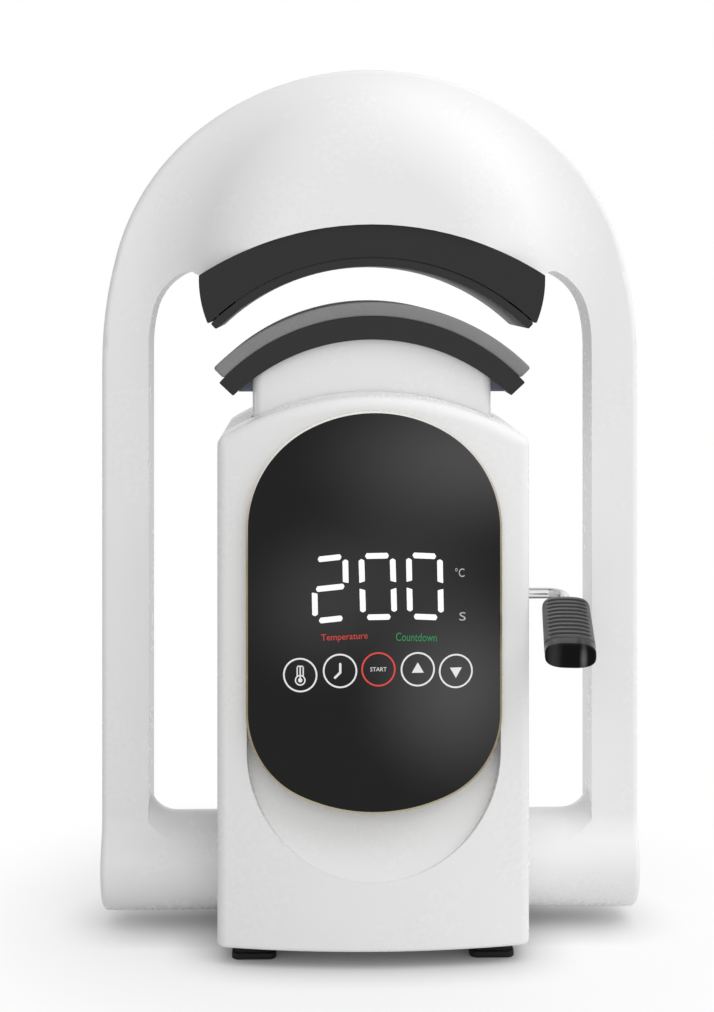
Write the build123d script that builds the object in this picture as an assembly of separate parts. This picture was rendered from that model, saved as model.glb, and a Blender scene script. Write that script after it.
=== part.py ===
from build123d import *

import os
from math import atan2, cos, degrees, hypot, pi, radians, sin, sqrt, tan

# Cap heat press, in millimetres. X runs across, Y from the front (-) to the back (+), Z up.
# The origin is on the table, under the arch's pivot axis and the platens' common mid-plane.

GAP = 0.3  # between neighbours on different bodies

# Arch: an inverted U that turns about the pivot axis.
ARCH_TOP = 459.0
ARCH_HALF = 143.5
LEG_INNER = 118.5
LEG_HALF_DEPTH = 17.0
CROWN_R, CROWN_DEG = 148.8, 40.0
SHOULDER_R, SHOULDER_DEG = 124.0, 35.0
FLANK_DEG = 90.0 - CROWN_DEG - SHOULDER_DEG
ARCH_EDGE_R = 3.5
ARCH_WALL = 3.0
WINDOW_BEND_Z = 311.8
WINDOW_BENDS = ((80.0, 14.0), (30.0, 50.0), (9.0, 26.0), (4.0, 50.0))
WINDOW_CORNER_R = 13.5
PIVOT_Z = 33.0
BARREL_R = 26.0
BARREL_INNER_X = 80.8

# Head: the deep middle of the arch that carries the upper platen.
HEAD_HALF_DEPTH = 46.5
HEAD_CENTRE_Z = 355.0
HEAD_FULL_R = 50.0
HEAD_FADE_R = 128.0

# Feet of the legs: each leg widens into a barrel about the pivot axis.
FOOT_BLEND_R = 22.0
FOOT_TOP_Z = 75.0
OUTLINE_REACH = 125.0

# Inside the arch
SPINE_T = 6.0
SPINE_SIDE = 6.0
STANDOFF_R = 4.0
STUD_R = 2.5
HANGER_Z = (376.5, 384.5)
HANGER_X = 40.0
HANGER_HALF_W = 6.0
SCREW_R = 1.7
SCREW_HEAD_R = 3.4
SCREW_BOSS_R = 4.2
SCREW_TIP = 11.0
SCREW_GRIP = 5.0

# Platens: arcs about axes parallel to Y, given by radius and the height of the centre.
PLATEN_HALF_DEPTH = 45.0
SEAT_R, SEAT_Z = 166.0, 209.9
COVER_HALF = 90.0
COVER_LOW_HALF = 85.3
COVER_SIDE_R = 60.0
COVER_WALL = 3.0
COVER_LIP_R = 0.8
HEATER_R, HEATER_Z = 116.8, 237.4
HEATER_T = 4.0
HEATER_DEG = 44.0
HEATER_GROOVE = 0.8
ELEMENT_T = 1.5
INSULATION_T = 10.0
ELEMENT_DEG = 36.0
ELEMENT_HALF_DEPTH = 38.0
PAD_R, PAD_Z = 116.4, 219.2
PAD_T = 7.4
PAD_DEG = 45.2
PAD_EDGE_R = 1.2
PLATE_DEG = 46.9
PLATE_LOW_R, PLATE_LOW_Z = 104.0, 212.1
BRACKET_Z = 288.5
BRACKET_HALF_DEPTH = 34.0

# Body: a bulged box with a vaulted top, on four feet.
BODY_HALF = 79.5
BODY_BOTTOM = 8.8
BODY_FRONT = -76.0
BODY_BACK = 75.0
BODY_BULGE_R = 355.0
BODY_BACK_R = 900.0
BODY_TOP = 289.0
VAULT_R = 150.0
BODY_EDGE_R = 6.0
BODY_TOP_EDGE_R = 6.5
BODY_BOTTOM_EDGE_R = 2.0
BODY_WALL = 3.0
SCOOP_R = 64.3
SCOOP_Z = 108.4
SCOOP_SLOPE_DEG = 16.5
SCOOP_TOP = 128.0
VENT_COUNT = 9
VENT_Z = 130.0
VENT_PITCH = 8.0
BACK_SEAT = 73.4
FOOT_SIZE = (22.7, 16.0)
FOOT_PAD_T = 3.2
FOOT_STEP = 1.8
FOOT_X = 61.0
FOOT_Y = (-52.0, 56.0)

# Neck: the sleeve between body and lower platen, which rises with the ram.
NECK_HALF = 62.5
NECK_HALF_DEPTH = 40.0
NECK_BOTTOM = 245.0
NECK_EDGE_R = 5.5
NECK_WALL = 2.5
NECK_POST_R = 4.0
NECK_POST_LENGTH = 22.0
NECK_CLEARANCE = 0.7

# Touch panel: an oval of four arcs and two straight sides on the bulged front.
PANEL_TOP = 280.5
PANEL_BOTTOM = 81.0
PANEL_HALF = 63.5
PANEL_CROWN_R, PANEL_CROWN_DEG = 70.0, 30.0
PANEL_TOE_R, PANEL_TOE_DEG = 92.0, 24.0
GLASS_FRONT = 5.2
GLASS_T = 2.6
RIM_W = 1.0
KEY_PITCH = 19.6
KEY_Z = 151.5
DISPLAY_Z = 186.0
DISPLAY_OPENING = (98.0, 90.0)

# Chassis
BASE_T = 2.5
FRAME_X = 46.0
FRAME_T = 3.0
FRAME_HALF_DEPTH = 30.0
FRAME_TOP = 250.0
BRIDGE_Z = (226.0, 248.0)
BRIDGE_HALF_DEPTH = 24.0
BRIDGE_SCREW_Y = 16.0
SHAFT_R = 8.0
RUNNING = 0.03
HUB_X = (123.0, 139.0)

# Ram and its drive
STROKE = 18.2
LEVER_TURN_DEG = 70.0
LEVER_Z = 176.4
LEVER_SHAFT_R = 6.0
ROLLER_R = 8.0
ROLLER_W = 11.6
ROLLER_RISE = 30.0
CAM_T = 10.0
CAM_GAP = 0.3
CAM_HUB_R = 13.0
CAM_ANGLES = (118.0, 2.0)
CAM_RUN_IN = 1.0
COLUMN_R = 16.0
COLUMN_BOTTOM = 201.0
FLANGE_R = 29.0
FLANGE_T = 5.0
FLANGE_SCREW_R = 23.5
GUIDE_ROD_R = 4.0
GUIDE_ROD_X = 34.0
GUIDE_ROD_BOTTOM = 187.5
ROD_PLATE_Z = (264.0, 270.0)

# Lever and grip
ROD_R = 2.95
ROD_CORNER = (106.0, 0.0, LEVER_Z)
ROD_END = (94.0, -100.0, 168.0)
ROD_BEND_R = 9.0
GRIP_W = 25.2
GRIP_T = 12.6
GRIP_START = 19.0
GRIP_LENGTH = 97.0
CAP_LENGTH = 10.0
RIB_COUNT = 10
RIB_PITCH = 7.8

# Power inlet and switch on the back
INLET_X, INLET_ZC = -30.0, 40.0
INLET_CASE, INLET_FLANGE, INLET_CAVITY = (27.0, 19.8), (32.0, 25.0), (24.2, 16.4)
SWITCH_X = 32.0
SWITCH_CASE, SWITCH_FLANGE = (19.2, 13.2), (21.4, 15.4)
ROCKER_PIN_R = 1.0
ROCKER_TILT = 8.0
ROCKER_AXIS_Y = BACK_SEAT - 3.0


def slab_y(face, low, high):
    """Extrude a face drawn in X and Z between two Y stations."""
    return Pos(0, (low + high) / 2, 0) * extrude(Plane.XZ * face, (high - low) / 2, both=True)


def slab_x(face, low, high):
    """Extrude a face drawn in Y and Z between two X stations."""
    return Pos((low + high) / 2, 0, 0) * extrude(Plane.YZ * face, (high - low) / 2, both=True)


def slab_z(face, low, high):
    """Extrude a face drawn in X and Y between two heights."""
    return Pos(0, 0, (low + high) / 2) * extrude(face, (high - low) / 2, both=True)


def block(x, y, z):
    """A box given by its low and high stations on each axis."""
    size = [pair[1] - pair[0] for pair in (x, y, z)]
    middle = [(pair[1] + pair[0]) / 2 for pair in (x, y, z)]
    return Pos(*middle) * Box(*size)


def round_x(radius, low, high, y, z):
    """A cylinder along X."""
    return Pos((low + high) / 2, y, z) * Rot(0, 90, 0) * Cylinder(radius, high - low)


def round_y(radius, x, low, high, z):
    """A cylinder along Y."""
    return Pos(x, (low + high) / 2, z) * Rot(90, 0, 0) * Cylinder(radius, high - low)


def round_z(radius, x, y, low, high):
    """A cylinder along Z."""
    return Pos(x, y, (low + high) / 2) * Cylinder(radius, high - low)


def both_sides(shape):
    """The shape and its mirror image across the middle of the press."""
    return Compound(children=[shape, mirror(shape, Plane.YZ)])


def half_face(edges):
    """Close a half outline drawn at X >= 0 and add its mirror image."""
    right = make_face(edges)
    return right + mirror(right, Plane.YZ)


def arc_height(radius, centre, x):
    """Height at x of an arc about (0, centre)."""
    return centre + sqrt(radius**2 - x**2)


# Arch


def arch_face(inset=0.0):
    """Front view of the arch; a positive inset draws the inner side of its wall."""
    half = ARCH_HALF - inset
    crown = JernArc((0, ARCH_TOP - inset), (1, 0), CROWN_R - inset, -CROWN_DEG)
    shoulder = JernArc(crown @ 1, crown % 1, SHOULDER_R - inset, -SHOULDER_DEG)
    lean = 1 - sin(radians(CROWN_DEG + SHOULDER_DEG))
    flank = JernArc(shoulder @ 1, shoulder % 1, (half - (shoulder @ 1).X) / lean, -FLANK_DEG)
    outer = Line(flank @ 1, (half, PIVOT_Z))
    foot = Line(outer @ 1, (LEG_INNER + inset, PIVOT_Z))
    inner = Line(foot @ 1, (LEG_INNER + inset, WINDOW_BEND_Z))
    edges = [crown, shoulder, flank, outer, foot, inner]
    for radius, turn in WINDOW_BENDS:
        edges.append(JernArc(edges[-1] @ 1, edges[-1] % 1, radius + inset, turn))
    seat_radius = SEAT_R + inset
    seat_start = (COVER_HALF, arc_height(seat_radius, SEAT_Z, COVER_HALF))
    edges.append(Line(edges[-1] @ 1, seat_start))
    edges.append(ThreePointArc(seat_start, (45, arc_height(seat_radius, SEAT_Z, 45)), (0, SEAT_Z + seat_radius)))
    edges.append(Line(edges[-1] @ 1, crown @ 0))
    return half_face(edges)


def head_swell(inset=0.0):
    """Depth of the arch, turned about the head's middle: full there, leg depth further out."""
    deep, thin = HEAD_HALF_DEPTH - inset, LEG_HALF_DEPTH - inset
    run, rise = HEAD_FADE_R - HEAD_FULL_R, deep - thin
    radius = (run**2 + rise**2) / (4 * rise)
    turn = degrees(2 * atan2(rise, run))
    reach = ARCH_TOP
    first = JernArc((HEAD_FULL_R, deep), (1, 0), radius, -turn)
    second = JernArc(first @ 1, first % 1, radius, turn)
    face = make_face([Line((0, deep), first @ 0), first, second, Line(second @ 1, (reach, thin)),
                      Line((reach, thin), (reach, 0)), Line((reach, 0), (0, 0)), Line((0, 0), (0, deep))])
    return Pos(0, 0, HEAD_CENTRE_Z) * revolve(face + mirror(face, Plane.XZ), Axis.Y)


def foot_profile(inset=0.0):
    """Side view of a leg's foot: the leg's depth flows into the barrel's round."""
    radius, blend, half = BARREL_R - inset, FOOT_BLEND_R + inset, LEG_HALF_DEPTH - inset
    reach = radius + blend
    drop = sqrt(reach**2 - (half + blend) ** 2)
    angle = atan2(drop, half + blend) / 2
    high = PIVOT_Z + drop
    middle = (half + blend - blend * cos(angle), high - blend * sin(angle))
    touch = ((half + blend) * radius / reach, PIVOT_Z + drop * radius / reach)
    return make_face([Line((-half, FOOT_TOP_Z), (half, FOOT_TOP_Z)), Line((half, FOOT_TOP_Z), (half, high)),
                      ThreePointArc((half, high), middle, touch),
                      ThreePointArc(touch, (0, PIVOT_Z - radius), (-touch[0], touch[1])),
                      ThreePointArc((-touch[0], touch[1]), (-middle[0], middle[1]), (-half, high)),
                      Line((-half, high), (-half, FOOT_TOP_Z))])


def leg_foot(inset=0.0):
    """The foot of the right leg: barrel, leg end, and the round elbow in the window's corner."""
    profile = foot_profile(inset)
    outer_x = ARCH_HALF - inset
    foot = slab_x(profile, LEG_INNER + inset, outer_x)
    if not inset:
        end = foot.faces().sort_by(Axis.X)[-1]
        foot = fillet([e for e in end.edges() if (e @ 0.5).Z < FOOT_TOP_Z - 0.1], ARCH_EDGE_R)
    inner_x = outer_x - 2 * ARCH_EDGE_R
    drum = round_x(BARREL_R - inset, BARREL_INNER_X + inset, inner_x, 0, PIVOT_Z)
    corner_x, corner_z = LEG_INNER - WINDOW_CORNER_R, PIVOT_Z + BARREL_R + WINDOW_CORNER_R
    disc = Plane(origin=(corner_x, 0, PIVOT_Z), x_dir=(0, 1, 0), z_dir=(1, 0, 0)) * Circle(BARREL_R - inset)
    elbow = revolve(disc, Axis((corner_x, 0, corner_z), (0, 1, 0)), -90)
    return foot + drum + (elbow & slab_x(profile, corner_x - 1, inner_x))


def arch_solid(inset=0.0):
    """Head, legs and feet as one body; a positive inset draws the inner side of its wall."""
    body = slab_y(arch_face(inset), -HEAD_HALF_DEPTH - 1, HEAD_HALF_DEPTH + 1) & head_swell(inset)
    if not inset:
        rim = [e for e in body.edges() if abs((e @ 0.5).Y) > 10 and on_outer_rim(e)]
        body = fillet(rim, ARCH_EDGE_R)
    foot = leg_foot(inset)
    return body + foot + mirror(foot, Plane.YZ)


def on_outer_rim(edge):
    """Whether an edge of the arch lies on its outer outline, above the legs' ends."""
    middle = edge @ 0.5
    if middle.Z < WINDOW_BEND_Z:
        return abs(middle.X) > ARCH_HALF - 1 and middle.Z > PIVOT_Z + 1
    return hypot(middle.X, middle.Z - WINDOW_BEND_Z) > OUTLINE_REACH


def arch_screw_points():
    """Places of the arch's screws in front view: crown, shoulders and legs."""
    points = [(0.0, 437.0)]
    for side in (-1, 1):
        points += [(side * 62.0, 412.0), (side * 131.0, 250.0), (side * 131.0, 120.0)]
    return points


def arch_shells():
    """The arch's front and rear shells, with bosses that meet the steel spine between them."""
    outer = arch_solid()
    shell = outer - arch_solid(ARCH_WALL)
    bosses = [round_y(SCREW_BOSS_R, x, -60, 60, z) for x, z in arch_screw_points()]
    shell += (Compound(children=bosses) & outer)
    shell -= slab_y(spine_face(GAP), -SPINE_T / 2, SPINE_T / 2)
    for side in (-1, 1):
        x_low, x_high = sorted((side * (BARREL_INNER_X - 1), side * (HUB_X[1] + GAP)))
        shell -= round_x(SHAFT_R + GAP, x_low, x_high, 0, PIVOT_Z)
    for x, y in standoff_points():
        shell -= round_z(STANDOFF_R + GAP, x, y, 340, 380)
    for x, z in arch_screw_points():
        shell -= round_y(SCREW_R, x, -SCREW_TIP - 1.5, 60, z)
        shell -= round_y(SCREW_HEAD_R, x, SPINE_T / 2 + SCREW_GRIP, 60, z)
    front = shell & block((-200, 200), (-80, 0), (0, 500))
    rear = shell & block((-200, 200), (0, 80), (0, 500))
    return front, rear


def standoff_points():
    """Where the four posts that carry the heater plate stand."""
    return [(x, y) for x in (-HANGER_X, HANGER_X) for y in (-24.0, 24.0)]


def spine_face(clearance=0.0):
    """Front view of the flat steel spine inside the arch."""
    inset = SPINE_SIDE - clearance
    half = ARCH_HALF - inset
    crown = JernArc((0, ARCH_TOP - inset), (1, 0), CROWN_R - inset, -CROWN_DEG)
    shoulder = JernArc(crown @ 1, crown % 1, SHOULDER_R - inset, -SHOULDER_DEG)
    lean = 1 - sin(radians(CROWN_DEG + SHOULDER_DEG))
    flank = JernArc(shoulder @ 1, shoulder % 1, (half - (shoulder @ 1).X) / lean, -FLANK_DEG)
    foot_z = PIVOT_Z + SHAFT_R + 6 - clearance
    inner_x = LEG_INNER + inset
    outer = Line(flank @ 1, (half, foot_z))
    foot = Line(outer @ 1, (inner_x, foot_z))
    inner = Line(foot @ 1, (inner_x, WINDOW_BEND_Z))
    knee = ThreePointArc(inner @ 1, (inner_x - 5.4, 337), (102, 362))
    low = HANGER_Z[1] + GAP - clearance
    lower = Line(knee @ 1, (HANGER_X + 16, low))
    flat = Line(lower @ 1, (0, low))
    return half_face([crown, shoulder, flank, outer, foot, inner, knee, lower, flat, Line(flat @ 1, crown @ 0)])


def arch_spine():
    """The steel plate that takes the pressing force from one barrel over the top to the other."""
    spine = slab_y(spine_face(), -SPINE_T / 2, SPINE_T / 2)
    for x, z in arch_screw_points():
        spine -= round_y(SCREW_R + 0.3, x, -5, 5, z)
    for side in (-1, 1):
        spine -= slab_y(Pos(side * 131, 185) * SlotOverall(90, 6, rotation=90), -5, 5)
        spine -= slab_y(Pos(side * 36, 412) * Circle(9), -5, 5)
    return spine


def hub_block():
    """One block that clamps the spine's foot to the pivot shaft."""
    body = block(HUB_X, (-13, 13), (PIVOT_Z - 14, PIVOT_Z + SHAFT_R + 6 - 0.02))
    ears = block(HUB_X, (-9, -SPINE_T / 2), (PIVOT_Z + 10, PIVOT_Z + 38))
    ears += block(HUB_X, (SPINE_T / 2, 9), (PIVOT_Z + 10, PIVOT_Z + 38))
    body = chamfer(body.edges().filter_by(Axis.X), 3)
    return body + ears - round_x(SHAFT_R, HUB_X[0] - 1, HUB_X[1] + 1, 0, PIVOT_Z)


def pivot_shaft():
    """The hollow shaft through body and barrels; wires pass through its middle."""
    reach = HUB_X[1] - 1
    shaft = round_x(SHAFT_R, -reach, reach, 0, PIVOT_Z) - round_x(SHAFT_R - 2.5, -reach, reach, 0, PIVOT_Z)
    return chamfer(shaft.edges().filter_by(GeomType.CIRCLE).group_by(SortBy.RADIUS)[-1], 0.8)


def hub_washer():
    """The pale washer in the seam between barrel and body."""
    low, high = BODY_HALF + 0.15, BARREL_INNER_X - 0.1
    return round_x(BARREL_R - 1.2, low, high, 0, PIVOT_Z) - round_x(SHAFT_R + 0.1, low, high, 0, PIVOT_Z)


def arch_screws():
    """Pan-head screws that close the arch from behind."""
    screws = []
    for x, z in arch_screw_points():
        seat = SPINE_T / 2 + SCREW_GRIP
        screws.append(round_y(SCREW_R, x, -SCREW_TIP, seat, z) + round_y(SCREW_HEAD_R - 0.2, x, seat, seat + 2.4, z))
    return Compound(children=screws)


# Upper platen


def sector(radius, centre, thickness, half_angle):
    """A curved strip in front view: radius is the inner one, the ends are cut radially."""
    a = radians(half_angle)
    inner = [(s * radius * sin(a), centre + radius * cos(a)) for s in (-1, 1)]
    high = radius + thickness
    outer = [(s * high * sin(a), centre + high * cos(a)) for s in (-1, 1)]
    return make_face([ThreePointArc(inner[0], (0, centre + radius), inner[1]), Line(inner[1], outer[1]),
                      ThreePointArc(outer[1], (0, centre + high), outer[0]), Line(outer[0], inner[0])])


def cover_face(inset=0.0, drop=0.0):
    """Front view of the upper cover: the seat arc above, the heater's arc below, bowed sides."""
    top_r = SEAT_R - inset
    half = COVER_HALF - inset
    low_half = COVER_LOW_HALF - inset
    low_r = HEATER_R + HEATER_T + HEATER_GROOVE - drop
    corner = (half, arc_height(top_r, SEAT_Z, half))
    low = (low_half, arc_height(low_r, HEATER_Z, low_half))
    top = ThreePointArc((0, SEAT_Z + top_r), (half / 2, arc_height(top_r, SEAT_Z, half / 2)), corner)
    side = RadiusArc(corner, low, COVER_SIDE_R)
    under = ThreePointArc(low, (half / 2, arc_height(low_r, HEATER_Z, half / 2)), (0, HEATER_Z + low_r))
    return half_face([top, side, under, Line(under @ 1, top @ 0)])


def upper_cover():
    """The black heat shield: a curved tray, open below."""
    cover = slab_y(cover_face(), -PLATEN_HALF_DEPTH, PLATEN_HALF_DEPTH)
    ends = cover.edges().filter_by(Axis.Y).group_by(Axis.Z)[0]
    cover = fillet(ends, COVER_LIP_R)
    deep = PLATEN_HALF_DEPTH - COVER_WALL
    cover -= slab_y(cover_face(COVER_WALL, COVER_WALL), -deep, deep)
    for x, y in standoff_points():
        cover -= round_z(STANDOFF_R + 0.2, x, y, 340, 380)
    return cover


def heater_plate():
    """The curved aluminium plate that presses the cap, with its edges rolled."""
    face = sector(HEATER_R, HEATER_Z, HEATER_T, HEATER_DEG)
    plate = slab_y(face, -PLATEN_HALF_DEPTH, PLATEN_HALF_DEPTH)
    return fillet(plate.edges().filter_by(Axis.Y), 0.9)


def layer(radius, thickness):
    """One curved layer on the heater plate, with holes for posts, cutout and probe."""
    face = sector(radius, HEATER_Z, thickness, ELEMENT_DEG)
    sheet = slab_y(face, -ELEMENT_HALF_DEPTH, ELEMENT_HALF_DEPTH)
    for x, y in standoff_points():
        sheet -= round_z(STANDOFF_R + 0.2, x, y, 320, 380)
    return sheet


def heating_element():
    """The etched-foil heater between plate and insulation."""
    return layer(HEATER_R + HEATER_T, ELEMENT_T)


def insulation_pad():
    """The ceramic-fibre layer above the heater."""
    pad = layer(HEATER_R + HEATER_T + ELEMENT_T, INSULATION_T)
    pad -= round_z(9.0, 18, 0, 340, 380)
    return pad - round_z(4.0, -18, 0, 340, 380)


def element_top():
    """A tall block above the heating element, for cutting feet to its curve."""
    face = sector(HEATER_R + HEATER_T + ELEMENT_T, HEATER_Z, 40, ELEMENT_DEG)
    return slab_y(face, -ELEMENT_HALF_DEPTH, ELEMENT_HALF_DEPTH)


def thermal_cutout():
    """The resettable cutout: a disc with two tabs."""
    disc = round_z(8.0, 18, 0, 350, 365) + round_z(5.5, 18, 0, 365, 367)
    tabs = block((11, 25), (-1, 1), (365, 368.2)) - block((14, 22), (-2, 2), (367.1, 369))
    return (disc + tabs) & element_top()


def temperature_probe():
    """The glass-bead sensor in its brass sleeve."""
    return (round_z(3.2, -18, 0, 350, 361) + round_z(1.8, -18, 0, 361, 367)) & element_top()


def heater_standoffs():
    """Four posts with threaded ends that hang the heater plate from the bars."""
    above = slab_y(sector(HEATER_R + HEATER_T, HEATER_Z, 60, HEATER_DEG), -40, 40)
    posts = []
    for x, y in standoff_points():
        post = round_z(STANDOFF_R, x, y, 340, HANGER_Z[0]) + round_z(STUD_R, x, y, HANGER_Z[0], HANGER_Z[1] + 5)
        posts.append(post & above)
    return Compound(children=posts)


def hanger_bars():
    """Two bars under the spine that spread the load over the four posts."""
    bars = []
    for side in (-1, 1):
        x = side * HANGER_X
        bar = block((x - HANGER_HALF_W, x + HANGER_HALF_W), (-31, 31), HANGER_Z)
        bar = fillet(bar.edges().filter_by(Axis.Z), 4)
        for y in (-24.0, 24.0):
            bar -= round_z(STUD_R, x, y, HANGER_Z[0] - 1, HANGER_Z[1] + 1)
        bars.append(bar)
    return Compound(children=bars)


def hanger_nuts():
    """Hexagon nuts on the posts' threaded ends."""
    nuts = []
    for x, y in standoff_points():
        nut = slab_z(Pos(x, y) * RegularPolygon(4.6, 6), HANGER_Z[1], HANGER_Z[1] + 4)
        nuts.append(nut - round_z(STUD_R, x, y, HANGER_Z[1] - 1, HANGER_Z[1] + 6))
    return Compound(children=nuts)


# Lower platen, neck and ram


def lower_plate_face():
    """Front view of the lower plate: arcs of two radii, thinner towards its ends."""
    a = radians(PLATE_DEG)
    top_r = PAD_R - PAD_T
    top = [(s * top_r * sin(a), PAD_Z + top_r * cos(a)) for s in (-1, 1)]
    offset = PAD_Z - PLATE_LOW_Z
    reach = sqrt(PLATE_LOW_R**2 - (offset * sin(a)) ** 2) - offset * cos(a)
    low = [(s * reach * sin(a), PAD_Z + reach * cos(a)) for s in (-1, 1)]
    return make_face([ThreePointArc(top[0], (0, PAD_Z + top_r), top[1]), Line(top[1], low[1]),
                      ThreePointArc(low[1], (0, PLATE_LOW_Z + PLATE_LOW_R), low[0]), Line(low[0], top[0])])


def lower_plate():
    """The dark curved plate under the pad."""
    plate = slab_y(lower_plate_face(), -PLATEN_HALF_DEPTH + 0.5, PLATEN_HALF_DEPTH - 0.5)
    plate = fillet(plate.edges().filter_by(Axis.Y), 0.8)
    for x, y in platen_screw_points():
        plate -= round_z(2.5, x, y, 280, 320)
    return plate


def silicone_pad():
    """The soft pad that the cap lies on."""
    face = sector(PAD_R - PAD_T, PAD_Z, PAD_T, PAD_DEG)
    pad = slab_y(face, -PLATEN_HALF_DEPTH, PLATEN_HALF_DEPTH)
    return fillet(pad.edges().filter_by(Axis.Y), PAD_EDGE_R)


def bracket_face():
    """Front view of the saddle bracket: flat below, the plate's arc above."""
    half = sqrt((PLATE_LOW_R - 0.02) ** 2 - (BRACKET_Z - PLATE_LOW_Z + 0.8) ** 2)
    ends = [(s * half, BRACKET_Z + 0.8) for s in (-1, 1)]
    feet = [(s * half, BRACKET_Z) for s in (-1, 1)]
    crown = ThreePointArc(ends[0], (0, PLATE_LOW_Z + PLATE_LOW_R - 0.02), ends[1])
    return make_face([crown, Line(ends[1], feet[1]), Line(feet[1], feet[0]), Line(feet[0], ends[0])])


def platen_screw_points():
    """The four screws through the bracket into the lower plate."""
    return [(x, y) for x in (-34.0, 34.0) for y in (-22.0, 22.0)]


def saddle_bracket():
    """The cast saddle between ram and lower plate, with four pockets cast in its underside."""
    saddle = slab_y(bracket_face(), -BRACKET_HALF_DEPTH, BRACKET_HALF_DEPTH)
    for x, y in platen_screw_points():
        saddle -= round_z(2.5, x, y, 280, 320) + round_z(4.9, x, y, 280, BRACKET_Z + 4)
    for x in (-52.0, 52.0):
        for y in (-14.0, 14.0):
            saddle -= block((x - 9, x + 9), (y - 10, y + 10), (BRACKET_Z - 1, BRACKET_Z + 7))
    return saddle


def platen_screws():
    """Socket screws from below the saddle into the lower plate."""
    screws = []
    for x, y in platen_screw_points():
        screw = round_z(2.48, x, y, BRACKET_Z + 4, 317) + round_z(4.7, x, y, BRACKET_Z, BRACKET_Z + 4)
        screws.append(screw - slab_z(Pos(x, y) * RegularPolygon(2.2, 6), BRACKET_Z - 1, BRACKET_Z + 2.4))
    return Compound(children=screws)


def neck_cover():
    """The white sleeve: front and back reach the plate's arc, the sides stop under the bracket."""
    outer = block((-NECK_HALF, NECK_HALF), (-NECK_HALF_DEPTH, NECK_HALF_DEPTH), (NECK_BOTTOM, 325))
    outer = fillet(outer.edges().filter_by(Axis.Z), NECK_EDGE_R)
    inner_x, inner_y = NECK_HALF - NECK_WALL, NECK_HALF_DEPTH - NECK_WALL
    hollow = block((-inner_x, inner_x), (-inner_y, inner_y), (NECK_BOTTOM - 1, 330))
    sleeve = outer - fillet(hollow.edges().filter_by(Axis.Z), NECK_EDGE_R - NECK_WALL)
    for x, y in neck_screw_points():
        corner_x = inner_x + 1 if x > 0 else -inner_x - 1
        corner_y = inner_y + 1 if y > 0 else -inner_y - 1
        heights = (BRACKET_Z - NECK_POST_LENGTH, BRACKET_Z)
        sleeve += round_z(NECK_POST_R, x, y, *heights)
        sleeve += block(sorted((x, corner_x)), sorted((y, corner_y)), heights)
        sleeve -= round_z(2.05, x, y, BRACKET_Z - 30, BRACKET_Z + 1)
    slot_y = BRACKET_HALF_DEPTH + GAP
    slot = block((-NECK_HALF - 1, NECK_HALF + 1), (-slot_y, slot_y), (BRACKET_Z, 330))
    plate_room = slab_y(sector(PLATE_LOW_R - 0.2, PLATE_LOW_Z, 60, 60), -60, 60)
    return sleeve - slot - plate_room


def neck_screw_points():
    """The four screws from below through the neck's posts into the saddle."""
    return [(x, y) for x in (-52.0, 52.0) for y in (-29.0, 29.0)]


def neck_screws():
    """Long pan-head screws that hold the neck under the saddle."""
    screws = []
    for x, y in neck_screw_points():
        seat = BRACKET_Z - NECK_POST_LENGTH
        head = round_z(3.8, x, y, seat - 2.4, seat)
        screws.append(head + round_z(2.0, x, y, seat, BRACKET_Z))
    return Compound(children=screws)


def ram_column():
    """The steel column: a fork for the roller below, a bolted flange under the saddle above."""
    column = round_z(COLUMN_R, 0, 0, COLUMN_BOTTOM, BRACKET_Z - FLANGE_T)
    column += round_z(FLANGE_R, 0, 0, BRACKET_Z - FLANGE_T, BRACKET_Z)
    pin_z = LEVER_Z + ROLLER_RISE
    slot_half = ROLLER_W / 2 + 0.4
    column -= block((-slot_half, slot_half), (-20, 20), (COLUMN_BOTTOM - 1, pin_z + 2))
    column -= round_x(ROLLER_R + 1.6, -slot_half, slot_half, 0, pin_z)
    column -= round_x(3.0, -20, 20, 0, pin_z)
    column -= round_z(8.0, 0, 0, pin_z + 22, BRACKET_Z + 1)
    for x, y in flange_screw_points():
        column -= round_z(2.2, x, y, BRACKET_Z - 6, BRACKET_Z + 1)
    return column


def flange_screw_points():
    """The four screws round the column's flange."""
    angles = [pi / 4 + k * pi / 2 for k in range(4)]
    return [(FLANGE_SCREW_R * cos(a), FLANGE_SCREW_R * sin(a)) for a in angles]


def ram_screws():
    """Four screws that hold the column's flange to the saddle."""
    screws = []
    seat = BRACKET_Z - FLANGE_T
    for x, y in flange_screw_points():
        screws.append(round_z(2.15, x, y, seat, BRACKET_Z) + round_z(4.0, x, y, seat - 4, seat))
    return Compound(children=screws)


def cam_roller():
    """The hardened roller that runs on the cam."""
    z = LEVER_Z + ROLLER_RISE
    roller = round_x(ROLLER_R, -ROLLER_W / 2, ROLLER_W / 2, 0, z)
    roller = chamfer(roller.edges().filter_by(GeomType.CIRCLE), 0.5)
    return roller - round_x(3.0, -10, 10, 0, z)


def roller_pin():
    """The roller's pin, held in the fork."""
    return round_x(3.0, -15.2, 15.2, 0, LEVER_Z + ROLLER_RISE)


def rod_plate():
    """The cross plate clamped round the column, which carries the guide rods."""
    plan = Rectangle(2 * GUIDE_ROD_X + 20, 44)
    plan = fillet(plan.vertices(), 8)
    plan -= Circle(COLUMN_R)
    for x in (-GUIDE_ROD_X, GUIDE_ROD_X):
        plan -= Pos(x, 0) * Circle(GUIDE_ROD_R - 1)
    return slab_z(plan, *ROD_PLATE_Z)


def guide_rods():
    """Two rods beside the column that stop the ram from turning and carry the return springs."""
    rods = []
    for x in (-GUIDE_ROD_X, GUIDE_ROD_X):
        rod = round_z(GUIDE_ROD_R, x, 0, GUIDE_ROD_BOTTOM, ROD_PLATE_Z[0])
        rods.append(rod + round_z(GUIDE_ROD_R - 1, x, 0, ROD_PLATE_Z[0], ROD_PLATE_Z[1] + 4))
    return Compound(children=rods)


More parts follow.
